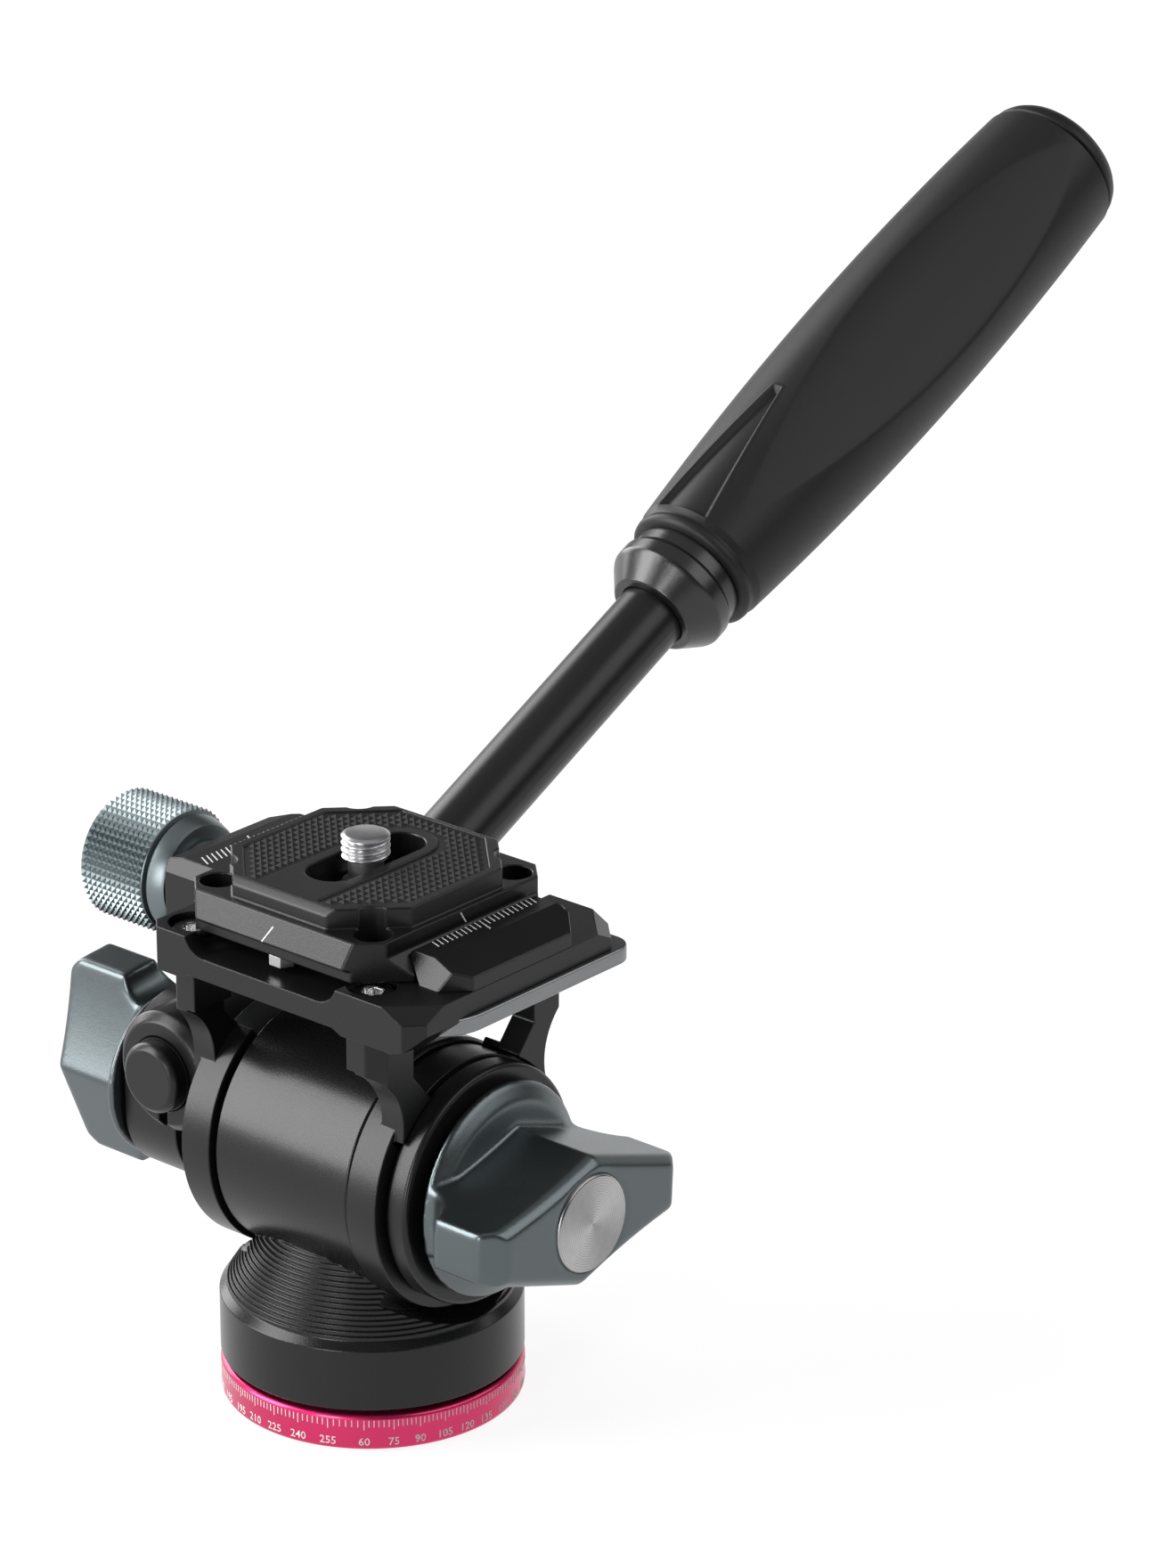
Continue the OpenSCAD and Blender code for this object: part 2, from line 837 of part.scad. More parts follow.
module drum_ring() {
    color("#202124")
        turned_x(arm_out, tilt_z)
            polygon([[drum_hub_r, 0], [drum_r - drum_chamfer, 0], [drum_r, drum_chamfer],
                [drum_r, drum_out - arm_out - edge], [drum_r - edge, drum_out - arm_out],
                [drum_hub_r, drum_out - arm_out]]);
}

module tilt_shaft() {
    color("#a9abad")
        difference() {
            union() {
                rod_x(-arm_out, arm_out, shaft_r, tilt_z);
                rod_x(arm_out, drum_out, drum_hub_r, tilt_z);
            }
            rod_x(tilt_screw_in - pass_gap, drum_out + past, tilt_screw_r + run_gap, tilt_z);
        }
}

module damping_rotor() {
    color("#7d6f52")
        difference() {
            rod_x(-rotor_x, rotor_x, rotor_r, tilt_z);
            rod_x(-rotor_x - past, rotor_x + past, shaft_r, tilt_z);
        }
}

// large circle that hollows the flank between two points of the wing outline
module flank_circle(p, q, sag) {
    run = q - p;
    chord = norm(run) * (1 + 2 * wing_over);
    bend = chord * chord / (8 * sag) + sag / 2;
    out = [-run[1], run[0]] / norm(run);
    translate((p + q) / 2 + out * (bend - sag))
        children();
}

// radius of that circle
function flank_r(p, q, sag) = pow(norm(q - p) * (1 + 2 * wing_over), 2) / (8 * sag) + sag / 2;

// wing outline: tips along the first axis, one hollow flank on each side
module wing_outline(l, tip, mid, crest) {
    sag = wing_sag * l;
    difference() {
        polygon([[l, -tip], [l, tip], [crest, mid], [-l, tip], [-l, -tip], [-crest, -mid]]);
        for (a = [0, 180])
            rotate(a)
                flank_circle([-l, tip], [crest, mid], sag)
                    circle(r = flank_r([-l, tip], [crest, mid], sag), $fn = 360);
    }
}

// bevel along one straight edge of the wing face
module wing_bevel(p, q, t, size) {
    run = q - p;
    translate([p[0], p[1], t])
        rotate([0, 0, atan2(run[1], run[0])])
            rotate([45, 0, 0])
                translate([-past, -size * sqrt(2), -size / sqrt(2)])
                    cube([norm(run) + 2 * past, 2 * size * sqrt(2), 2 * size]);
}

// wing knob standing along Z from the back of its flange, wings along the first axis
module wing_knob(l, tip, mid, flange, t, cap, bore) {
    crest = wing_crest * l;
    bevel = wing_edge * l;
    sag = wing_sag * l;
    hollow_r = flank_r([-l, tip], [crest, mid], sag);
    difference() {
        union() {
            rotate_extrude()
                polygon([[0, 0], [flange, 0], [flange, flange_rim],
                    [flange - flange_t, flange_t], [0, flange_t]]);
            difference() {
                translate([0, 0, wing_foot])
                    linear_extrude(height = t - wing_foot)
                        wing_outline(l, tip, mid, crest);
                for (s = [-1, 1]) {
                    translate([s * undercut_x * l, mid + past, undercut_z * l])
                        rotate([90, 0, 0])
                            cylinder(h = 2 * (mid + past), r = undercut_r * l);
                    wing_bevel([s * l, -s * tip], [s * l, s * tip], t, wing_tip_edge * l);
                    wing_bevel([s * l, s * tip], [s * crest, s * mid], t, bevel);
                }
                for (a = [0, 180])
                    rotate([0, 0, a])
                        flank_circle([-l, tip], [crest, mid], sag)
                            translate([0, 0, t - 2 * bevel])
                                cylinder(h = 3 * bevel, r1 = hollow_r - bevel, r2 = hollow_r + 2 * bevel,
                                    $fn = 360);
            }
        }
        translate([0, 0, t + cap_proud - cap_t])
            cylinder(h = 2 * cap_t, r = cap);
        translate([0, 0, -past])
            cylinder(h = t + past - screw_short, r = bore);
    }
}

module place_tilt_lock() {
    translate([tilt_flange_x, 0, tilt_z])
        rotate([tilt_wing_turn, 0, 0])
            rotate([90, 0, 90])
                children();
}

module place_handle_lock() {
    translate([-handle_flange_x, 0, clamp_z])
        rotate([handle_wing_turn, 0, 0])
            rotate([90, 0, -90])
                children();
}

module tilt_wing() {
    color("#5f6e73")
        place_tilt_lock()
            wing_knob(tilt_wing_l, tilt_tip, tilt_mid, tilt_flange_r, tilt_wing_t, cap_r, tilt_screw_r);
}

module tilt_wing_cap() {
    color("#c9cbcd")
        place_tilt_lock()
            translate([0, 0, tilt_wing_t + cap_proud - cap_t])
                cylinder(h = cap_t, r = cap_r);
}

module tilt_lock_screw() {
    color("#a9abad")
        rod_x(tilt_screw_in, tilt_flange_x + tilt_wing_t - screw_short, tilt_screw_r, tilt_z);
}

module handle_wing() {
    color("#5f6e73")
        place_handle_lock()
            wing_knob(handle_wing_l, handle_tip, handle_mid, handle_flange_r, handle_wing_t,
                handle_cap_r, clamp_screw_r);
}

module handle_wing_cap() {
    color("#c9cbcd")
        place_handle_lock()
            translate([0, 0, handle_wing_t + cap_proud - cap_t])
                cylinder(h = cap_t, r = handle_cap_r);
}

module handle_lock_screw() {
    color("#a9abad")
        rod_x(-clamp_screw_end, screw_short - handle_flange_x - handle_wing_t, clamp_screw_r, clamp_z);
}

module handle_bar() {
    color("#1a1b1c") {
        translate([-handle_x, bar_tip + plug_t, handle_z])
            rotate([-90, 0, 0])
                cylinder(h = bend_y - bend_run + bend_lap - bar_tip - plug_t, r = bar_r_handle);
        translate([-handle_x, bend_y - bend_run, handle_z + bend_r])
            rotate([0, 90, 0])
                rotate_extrude(angle = handle_rise)
                    translate([bend_r, 0])
                        circle(r = bar_r_handle + bend_swell);
        along_handle()
            translate([0, 0, bend_run - bend_lap])
                cylinder(h = grip_start + bar_inside - bend_run + bend_lap, r = bar_r_handle);
    }
}

module bar_plug() {
    color("#242527")
        translate([-handle_x, bar_tip, handle_z])
            rotate([-90, 0, 0])
                rotate_extrude()
                    polygon([[0, 0], [plug_r - plug_chamfer, 0], [plug_r, plug_chamfer],
                        [plug_r, plug_t], [0, plug_t]]);
}

module grip_collar() {
    color("#1c1d1f")
        along_handle()
            translate([0, 0, collar_start])
                rotate_extrude()
                    polygon([[bar_r_handle, 0], [collar_r - collar_mouth, 0], [collar_r - edge, collar_cone],
                        [collar_r, collar_cone + collar_step], [collar_r, collar_l - 5 * collar_step],
                        [collar_r - collar_step, collar_l - 4 * collar_step],
                        [collar_r - collar_step, collar_l], [bar_r_handle, collar_l]]);
}

module grip_section(s0, s1) {
    intersection() {
        translate([grip_r - grip_curve_r, grip_belly])
            circle(r = grip_curve_r, $fn = 720);
        translate([0, s0])
            square([grip_r + past, s1 - s0]);
    }
}

module triangle_recess() {
    translate([0, triangle_depth - triangle_skin, triangle_base])
        rotate([90 + triangle_tilt, 0, 0])
            linear_extrude(height = grip_r)
                polygon([[-triangle_w, 0], [triangle_w, 0],
                    [triangle_tip, triangle_l], [-triangle_tip, triangle_l]]);
}

module grip() {
    color("#19191a")
        along_handle()
            difference() {
                union() {
                    rotate_extrude()
                        grip_section(grip_start + bead_l, grip_end);
                    translate([0, 0, grip_start])
                        cylinder(h = bead_l, r1 = collar_r - bead_in, r2 = collar_r + bead_out);
                }
                translate([0, 0, grip_start - past])
                    cylinder(h = bar_inside + past, r = bar_r_handle);
                for (a = [135, 315])
                    rotate([0, 0, a])
                        translate([grip_r - leaf_depth, -grip_r, leaf_start])
                            cube([grip_r, 2 * grip_r, grip_l]);
                for (a = [0, 180])
                    rotate([0, 0, a])
                        triangle_recess();
            }
}

module grip_end_cap() {
    color("#161617")
        along_handle()
            translate([0, 0, grip_end])
                rotate_extrude()
                    polygon(concat([[0, 0], [end_r - end_groove, 0], [end_r - end_groove, end_groove]],
                        end_curve, [[0, cap_l]]));
}

module moving_jaw() {
    color("#202124")
        difference() {
            intersection() {
                slab_y(-moving_front, moving_rear)
                    polygon([[-jaw_inner, jaw_foot], [-jaw_inner, platform_top], [-jaw_root, platform_top],
                        [-jaw_lip, jaw_nose_z], [-jaw_lip, moving_top - jaw_edge],
                        [-jaw_lip - jaw_edge, moving_top], [-moving_crease, moving_top],
                        [-jaw_left + jaw_shoulder, moving_edge_z + jaw_shoulder], [-jaw_left, moving_edge_z],
                        [-jaw_left, jaw_foot]]);
                slab_x(-jaw_left, 0)
                    polygon([[-moving_front, jaw_foot], [moving_rear, jaw_foot], [moving_rear, moving_top],
                        [nose_run - moving_front, moving_top], [-moving_front, moving_top - nose_drop]]);
            }
            translate([-jaw_left, moving_rear, platform_top])
                rotate([0, 0, 45])
                    cube([moving_chamfer * sqrt(2), moving_chamfer * sqrt(2), tall], center = true);
            rod_x(-jaw_left - past, -jaw_inner + past, qr_screw_r + run_gap, qr_z);
            for (y = [-guide_y, guide_y])
                translate([0, y, 0])
                    rod_x(-guide_out, -jaw_inner + past, guide_r, guide_z);
        }
}

module jaw_pins() {
    color("#a9abad")
        for (y = [-guide_y, guide_y])
            translate([0, y, 0])
                rod_x(-guide_out, -guide_end, guide_r, guide_z);
}

module qr_grip() {
    color("#5f6e73")
        difference() {
            union() {
                rod_x(-qr_collar_x, -qr_step_x, qr_collar_r, qr_z);
                turned_x(-qr_knurl_x, qr_z)
                    polygon([[0, 0], [qr_knob_r - qr_chamfer, 0],
                        [qr_face_r, qr_knurl_x - qr_step_x - qr_chamfer],
                        [qr_face_r - qr_chamfer, qr_knurl_x - qr_step_x], [0, qr_knurl_x - qr_step_x]]);
                translate([-qr_knurl_x, 0, qr_z])
                    rotate([0, -90, 0])
                        linear_extrude(height = qr_knurl_l)
                            knurl(qr_knob_r, qr_teeth, knurl_depth);
                turned_x(-qr_knurl_x - qr_knurl_l - qr_chamfer, qr_z)
                    polygon([[0, 0], [qr_knob_r - 2 * qr_chamfer, 0], [qr_knob_r - qr_chamfer, qr_chamfer],
                        [0, qr_chamfer]]);
            }
            rod_x(past - qr_collar_x, -qr_screw_out, qr_screw_r, qr_z);
        }
}

module qr_screw() {
    color("#a9abad")
        rod_x(-qr_screw_end, -qr_screw_out, qr_screw_r, qr_z);
}

module plate_section() {
    neck_z = dovetail_foot + dovetail_rise;
    polygon([[-plate_x, 0], [plate_x, 0], [plate_x, dovetail_foot], [neck_x, neck_z], [neck_x, plate_shelf],
        [-neck_x, plate_shelf], [-neck_x, neck_z], [-plate_x, dovetail_foot]]);
}

module plate_ends() {
    polygon([[-plate_y + plate_setback, 0], [plate_y - plate_setback, 0],
        [plate_y - plate_setback, plate_lip - plate_lip_drop], [plate_y, plate_lip],
        [plate_y - plate_slope, plate_shelf], [-plate_y + plate_slope, plate_shelf],
        [-plate_y, plate_lip], [-plate_y + plate_setback, plate_lip - plate_lip_drop]]);
}

module pad_ends(top) {
    polygon([[-pad_y, 0], [pad_y, 0], [pad_y, top - pad_bevel], [pad_y - pad_bevel, top],
        [pad_bevel - pad_y, top], [-pad_y, top - pad_bevel]]);
}

module rubber_outline() {
    difference() {
        cut_rect(pad_x - pad_rim, pad_y - pad_rim, rubber_cut);
        translate([-rubber_in, -pad_y])
            square([2 * rubber_in, pad_y + slot_y]);
        translate([0, slot_y])
            circle(r = rubber_in);
    }
}

module plate_body() {
    color("#242528")
        translate([0, 0, plate_z])
            difference() {
                union() {
                    intersection() {
                        slab_y(-plate_y, plate_y)
                            plate_section();
                        slab_x(-plate_x, plate_x)
                            plate_ends();
                        linear_extrude(height = plate_shelf)
                            cut_rect(plate_x, plate_y, plate_cut);
                    }
                    intersection() {
                        linear_extrude(height = plate_pad)
                            cut_rect(pad_x, pad_y, pad_cut);
                        slab_x(-pad_x, pad_x)
                            pad_ends(plate_pad - rubber_t + rubber_sink);
                    }
                }
                translate([0, 0, -past])
                    linear_extrude(height = plate_pad + 2 * past)
                        slot_y_shape(slot_y, slot_w / 2);
                translate([0, 0, -past])
                    linear_extrude(height = recess_h + past)
                        slot_y_shape(slot_y, recess_x);
                translate([0, 0, plate_pad - rubber_t])
                    linear_extrude(height = tall)
                        rubber_outline();
                at_corners(plate_hole_x, plate_hole_y)
                    translate([0, 0, -past])
                        cylinder(h = plate_pad + 2 * past, r = plate_hole_r);
                for (s = [-1, 1])
                    translate([0, s * stop_y, -past])
                        cylinder(h = past + stop_shank_l, r = stop_shank_r);
            }
}

module plate_pads() {
    color("#141415")
        translate([0, 0, plate_z + plate_pad - rubber_t])
            linear_extrude(height = rubber_t)
                rubber_outline();
}

module stop_screws() {
    color("#c9cbcd")
        for (s = [-1, 1])
            translate([0, s * stop_y, plate_z]) {
                translate([0, 0, -stop_drop])
                    cylinder(h = stop_drop, r = stop_r, $fn = 6);
                cylinder(h = stop_shank_l, r = stop_shank_r);
            }
}

module screw_clip() {
    clip_z = stud_head_z + stud_head_h + clip_gap;
    color("#8f9194")
        difference() {
            union() {
                translate([0, 0, clip_z])
                    cylinder(h = screw_clip_t, r = stud_head_r);
                translate([0, 0, clip_z])
                    cylinder(h = screw_clip_t + screw_neck_h, r = screw_neck_r);
            }
            translate([0, 0, clip_z - past])
                cylinder(h = tall, r = stud_shank_r + run_gap);
        }
}

module camera_screw() {
    color("#d4d6d8")
        difference() {
            union() {
                translate([0, 0, stud_head_z])
                    cylinder(h = stud_head_h, r = stud_head_r);
                translate([0, 0, stud_head_z])
                    cylinder(h = stud_foot - stud_head_z, r = stud_shank_r);
                translate([0, 0, stud_foot])
                    rotate_extrude()
                        polygon([[0, 0], [stud_r - stud_end, 0], [stud_r, stud_end],
                            [stud_r, stud_l - stud_lead], [stud_r - stud_lead, stud_l], [0, stud_l]]);
            }
            translate([-stud_head_r - past, -drive_w / 2, stud_head_z - past])
                cube([2 * (stud_head_r + past), drive_w, drive_h + past]);
        }
}

tripod_base();
scale_ring();
pan_spindle();
pan_washer();
spindle_clip();
pan_housing();
barrel_bushes();
barrel_cap();
pan_lock_grip();
pan_lock_screw();
left_arm();
right_arm();
platform();
corner_screws();
fixed_jaw();
jaw_screws();
side_bar();
handle_clamp();
drum_ring();
tilt_shaft();
damping_rotor();
tilt_wing();
tilt_wing_cap();
tilt_lock_screw();
handle_wing();
handle_wing_cap();
handle_lock_screw();
handle_bar();
bar_plug();
grip_collar();
grip();
grip_end_cap();
moving_jaw();
jaw_pins();
qr_grip();
qr_screw();
plate_body();
plate_pads();
stop_screws();
screw_clip();
camera_screw();
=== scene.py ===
import json
import math

import bmesh
import bpy
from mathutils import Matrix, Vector


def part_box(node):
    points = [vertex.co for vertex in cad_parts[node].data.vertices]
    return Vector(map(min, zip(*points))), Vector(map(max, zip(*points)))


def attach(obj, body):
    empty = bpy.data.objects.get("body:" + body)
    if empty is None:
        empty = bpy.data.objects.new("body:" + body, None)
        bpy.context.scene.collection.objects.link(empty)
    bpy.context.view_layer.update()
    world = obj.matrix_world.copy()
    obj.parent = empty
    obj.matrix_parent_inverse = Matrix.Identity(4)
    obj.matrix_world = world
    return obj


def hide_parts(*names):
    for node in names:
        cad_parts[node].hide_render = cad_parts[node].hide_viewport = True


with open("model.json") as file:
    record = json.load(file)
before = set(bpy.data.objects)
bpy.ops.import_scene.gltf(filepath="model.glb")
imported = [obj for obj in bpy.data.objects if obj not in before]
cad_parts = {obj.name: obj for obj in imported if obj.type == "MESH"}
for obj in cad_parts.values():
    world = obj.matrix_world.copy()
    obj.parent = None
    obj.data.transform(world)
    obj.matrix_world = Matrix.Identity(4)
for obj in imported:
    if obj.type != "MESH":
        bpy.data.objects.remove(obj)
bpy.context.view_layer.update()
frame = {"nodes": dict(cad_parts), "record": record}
nodes = frame["nodes"]
mm = 0.001
weldGap = 2e-6  # metres
print("frame loaded:", len(nodes), "nodes")


class Field:  # one socket of a finish; plain maths on it adds Math nodes
    def __init__(self, finish, socket):
        self.finish = finish
        self.socket = socket

    def math(self, operation, first, second):
        return self.finish.node("ShaderNodeMath", {"operation": operation}, {0: first, 1: second})

    def __add__(self, other):
        return self.math("ADD", self, other)

    def __radd__(self, other):
        return self.math("ADD", other, self)

    def __sub__(self, other):
        return self.math("SUBTRACT", self, other)

    def __rsub__(self, other):
        return self.math("SUBTRACT", other, self)

    def __mul__(self, other):
        return self.math("MULTIPLY", self, other)

    def __rmul__(self, other):
        return self.math("MULTIPLY", other, self)

    def above(self, level):
        return self.math("GREATER_THAN", self, level)


class Finish:  # a material whose surface is written in expressions
    def __init__(self, name, **constants):
        self.material = bpy.data.materials.new(name)
        self.material.use_nodes = True
        self.tree = self.material.node_tree
        self.surface = self.tree.nodes["Principled BSDF"]
        for key, value in constants.items():
            self.surface.inputs[key.replace("_", " ")].default_value = value
        self.here = self.node("ShaderNodeTexCoord", out="Object")

    def node(self, kind, settings=None, inputs=None, out=0):
        made = self.tree.nodes.new(kind)
        for key, value in (settings or {}).items():
            setattr(made, key, value)
        for key, value in (inputs or {}).items():
            if isinstance(value, Field):
                self.tree.links.new(value.socket, made.inputs[key])
            else:
                made.inputs[key].default_value = value
        return Field(self, made.outputs[out])

    def noise(self, scale, detail=2.0, stretch=(1, 1, 1)):
        at = self.here
        if stretch != (1, 1, 1):
            at = self.node("ShaderNodeMapping", {}, {"Vector": at, "Scale": stretch})
        return self.node("ShaderNodeTexNoise", {}, {"Vector": at, "Scale": scale, "Detail": detail})

    def blend(self, share, one, two):
        colours = {0: share, 6: (*one, 1), 7: (*two, 1)}
        return self.node("ShaderNodeMix", {"data_type": "RGBA"}, colours, out=2)

    def feed(self, key, value):
        self.tree.links.new(value.socket, self.surface.inputs[key])

    def relief(self, height, depth):
        bump = {"Strength": 1.0, "Distance": depth, "Height": height}
        self.feed("Normal", self.node("ShaderNodeBump", {}, bump))


blastedGrain = {"cloud": 70, "cloudShare": 0.7, "speckShare": 0.3, "cloudRough": 0.06, "speckRough": 0.12}
brushedGrain = {"line": 260, "cloud": 90, "lineRough": 0.14, "cloudRough": 0.06}
# the fan is a painted highlight: colour lighter and darker by angle round the cap's axis
spunGrain = {"paintedFanShare": 0.45, "ringShare": 0.35, "speckShare": 0.2, "speck": 900, "paintedFanTurn": 0.3, "ringRough": 0.10,
             "deep": 1e-5}
socketGrain = {"speck": 4200, "rough": 0.28, "speckRough": 0.10, "deep": 4e-6}


def blasted(name, dark, light, rough, grain, depth, **constants):  # anodised or moulded, with a fine even grain
    finish = Finish(name, **constants)
    s = blastedGrain
    cloud = finish.noise(s["cloud"], 3)
    speck = finish.noise(grain, 2)
    finish.feed("Base Color", finish.blend(s["cloudShare"] * cloud + s["speckShare"] * speck, dark, light))
    finish.feed("Roughness", rough + s["cloudRough"] * (cloud - 0.5) + s["speckRough"] * (speck - 0.5))
    finish.relief(speck, depth)
    return finish.material


def brushed(name, dark, light, rough, stretch, depth, **constants):  # bare metal with lines along one axis
    finish = Finish(name, Metallic=1.0, **constants)
    s = brushedGrain
    lines = finish.noise(s["line"], 4, stretch)
    cloud = finish.noise(s["cloud"], 2)
    finish.feed("Base Color", finish.blend(lines, dark, light))
    finish.feed("Roughness", rough + s["lineRough"] * (lines - 0.5) + s["cloudRough"] * (cloud - 0.5))
    finish.relief(lines, depth)
    return finish.material


def spun(name, dark, light, rough, pitch):  # faced on a lathe: fine rings, and a soft fan of painted highlight by angle round the axis, over the piece's own box
    finish = Finish(name, Metallic=1.0)
    box = finish.node("ShaderNodeTexCoord", out="Generated")
    face = finish.node("ShaderNodeMapping", {}, {"Vector": box, "Location": (0, -0.5, -0.5), "Scale": (0, 1, 1)})
    away = finish.node("ShaderNodeVectorMath", {"operation": "LENGTH"}, {0: face}, out="Value")
    up = finish.node("ShaderNodeSeparateXYZ", {}, {0: face}, out=2)
    side = finish.node("ShaderNodeSeparateXYZ", {}, {0: face}, out=1)
    turn = up.math("ARCTAN2", up, side)
    s = spunGrain
    # painted highlight: a fan, lighter and darker by angle round the cap's axis
    paintedFan = 0.5 + 0.5 * turn.math("SINE", 2 * turn + s["paintedFanTurn"], 0)
    lines = 0.5 + 0.5 * away.math("SINE", away * (2 * math.pi / pitch), 0)
    speck = finish.noise(s["speck"], 2)
    mixed = s["paintedFanShare"] * paintedFan + s["ringShare"] * lines + s["speckShare"] * speck
    finish.feed("Base Color", finish.blend(mixed, dark, light))
    finish.feed("Roughness", rough + s["ringRough"] * (lines - 0.5))
    finish.relief(lines, s["deep"])
    return finish.material


def socketed(name, dark, bright, at, reach):  # dark heads with a bright metal colour in the sockets, a painted glint, alike in all four quarters
    finish = Finish(name)
    s = socketGrain
    speck = finish.noise(s["speck"], 2)
    folded = finish.node("ShaderNodeVectorMath", {"operation": "ABSOLUTE"}, {0: finish.here})
    flat = finish.node("ShaderNodeVectorMath", {"operation": "MULTIPLY"}, {0: folded, 1: (1, 1, 0)})
    away = finish.node("ShaderNodeVectorMath", {"operation": "DISTANCE"}, {0: flat, 1: (at[0] * mm, at[1] * mm, 0)},
                       out="Value")
    # painted glint: bright metal colour within reach of each socket's centre
    paintedGlint = 1 - away.above(reach * mm)
    finish.feed("Base Color", finish.blend(paintedGlint, dark, bright))
    finish.feed("Metallic", paintedGlint)
    finish.feed("Roughness", s["rough"] + s["speckRough"] * (speck - 0.5))
    finish.relief(speck, s["deep"])
    return finish.material


finishes = {
    "black_anodised": blasted("blackAnodised", (0.0052, 0.0052, 0.0056), (0.0092, 0.0092, 0.0098), 0.32, 5200, 1.3e-5,
                              Specular_IOR_Level=0.32),
    "black_housing": blasted("blackTurned", (0.0050, 0.0050, 0.0053), (0.0082, 0.0082, 0.0086), 0.26, 5200, 8e-6,
                             Specular_IOR_Level=0.34),
    "black_gloss": blasted("blackGloss", (0.0055, 0.0055, 0.0058), (0.0085, 0.0085, 0.0090), 0.30, 4200, 5e-6,
                           Specular_IOR_Level=0.62),
    # the bright colour in the screw sockets is a painted glint
    "black_socket": socketed("blackSocket", (0.006, 0.006, 0.0063), (0.62, 0.62, 0.63), (15.5, 15.8), 1.5),
    "crimson_anodised": blasted("crimsonAnodised", (0.54, 0.016, 0.095), (0.64, 0.026, 0.135), 0.36, 4600, 4e-6,
                                Metallic=0.95, Coat_Weight=0.5, Coat_Roughness=0.12),
    "blue_grey_anodised": blasted("blueGreyAnodised", (0.096, 0.113, 0.118), (0.130, 0.149, 0.155), 0.33, 4400, 1.1e-5,
                                  Metallic=0.95),
    # a lighter copy of the blue-grey anodising, painted light for the knurl's bright tooth tips
    "blue_grey_knurled": blasted("blueGreyKnurlLitCopy", (0.15, 0.178, 0.185), (0.20, 0.232, 0.24), 0.36, 3400, 4e-6,
                                 Metallic=0.95),
    "bright_aluminium": brushed("brightAluminium", (0.18, 0.184, 0.188), (0.25, 0.254, 0.258), 0.34, (6, 0.4, 6), 4e-6),
    "spun_aluminium": spun("spunAluminium", (0.18, 0.18, 0.18), (0.50, 0.50, 0.50), 0.30, 0.026),
    "steel": brushed("turnedSteel", (0.46, 0.46, 0.47), (0.56, 0.56, 0.57), 0.36, (1, 1, 8), 2e-6),
    "bronze": brushed("bearingBronze", (0.36, 0.23, 0.09), (0.52, 0.36, 0.16), 0.38, (5, 1, 1), 4e-6),
    "polymer": blasted("bearingPolymer", (0.42, 0.39, 0.33), (0.52, 0.49, 0.42), 0.5, 2600, 8e-6),
    "black_bar": blasted("blackBar", (0.0060, 0.0060, 0.0062), (0.0095, 0.0095, 0.0100), 0.33, 3000, 6e-6,
                         Specular_IOR_Level=0.34),
    "grip_rubber": blasted("gripRubber", (0.0085, 0.0085, 0.0088), (0.0150, 0.0150, 0.0153), 0.46, 2400, 1e-5,
                           Specular_IOR_Level=0.27),
    "pad_rubber": blasted("padRubber", (0.0085, 0.0085, 0.0090), (0.0130, 0.0130, 0.0135), 0.50, 3000, 1e-5,
                          Specular_IOR_Level=0.26),
    "white_paint": blasted("whitePaint", (0.66, 0.66, 0.66), (0.76, 0.76, 0.76), 0.5, 5200, 3e-6),
}
print("finishes:", len(finishes))


def paint(piece, finish):
    piece.data.materials.clear()
    piece.data.materials.append(finishes[finish])


def addPiece(name, mesh, body, finish, replaced=()):  # a finished mesh in place, riding on a body
    piece = bpy.data.objects.new(name, mesh)
    bpy.context.scene.collection.objects.link(piece)
    paint(piece, finish)
    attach(piece, body)
    if replaced:
        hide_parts(*replaced)
    return piece


def meshOf(name, form, smooth=None):  # closes a bmesh into a mesh; smooth is an edge angle in degrees
    bmesh.ops.recalc_face_normals(form, faces=form.faces)
    if smooth is not None:
        for face in form.faces:
            face.smooth = True
        for edge in form.edges:
            edge.smooth = len(edge.link_faces) == 2 and math.degrees(edge.calc_face_angle(0)) < smooth
    mesh = bpy.data.meshes.new(name)
    form.to_mesh(mesh)
    form.free()
    return mesh


def rings(form, rows):  # skins closed rings of points, and caps both ends
    loops = [[form.verts.new(p) for p in row] for row in rows]
    count = len(loops[0])
    for low, high in zip(loops, loops[1:]):
        for k in range(count):
            form.faces.new((low[k], low[(k + 1) % count], high[(k + 1) % count], high[k]))
    form.faces.new(loops[0])
    form.faces.new(loops[-1])


# edges of the milled and turned pieces catch light
softEdges = {
    "wide": {"size": 0.24, "nodes": ["handle_clamp", "plate_body"]},
    "fine": {"size": 0.28, "nodes": ["tripod_base", "scale_ring", "side_bar", "drum_ring", "bar_plug", "grip_collar",
                                     "grip_end_cap", "corner_screws", "stop_screws", "barrel_cap"]},
    "thin": {"size": 0.18, "nodes": ["left_arm", "right_arm", "fixed_jaw", "moving_jaw"]},
    "hair": {"size": 0.12, "nodes": ["platform", "pan_housing"]},
    "limitDeg": 28,
    "flatDeg": 0.6,
    "segments": 3,
}
ownFinish = {"grip_collar": "black_gloss", "corner_screws": "black_socket"}
castEdges = {"nodes": ["tilt_wing", "handle_wing"], "grain": 0.30, "rounds": 22, "strength": 0.5}


def soften(node, size):
    piece = nodes[node]
    weld = piece.modifiers.new("join", "WELD")
    weld.merge_threshold = weldGap
    flat = piece.modifiers.new("flat", "DECIMATE")
    flat.decimate_type = "DISSOLVE"
    flat.angle_limit = math.radians(softEdges["flatDeg"])
    edge = piece.modifiers.new("edge", "BEVEL")
    edge.width = size * mm
    edge.segments = softEdges["segments"]
    edge.limit_method = "ANGLE"
    edge.angle_limit = math.radians(softEdges["limitDeg"])
    edge.use_clamp_overlap = node in softEdges["fine"]["nodes"]  # elsewhere short facets would stop the bevel
    even = piece.modifiers.new("even", "WEIGHTED_NORMAL")
    even.keep_sharp = True


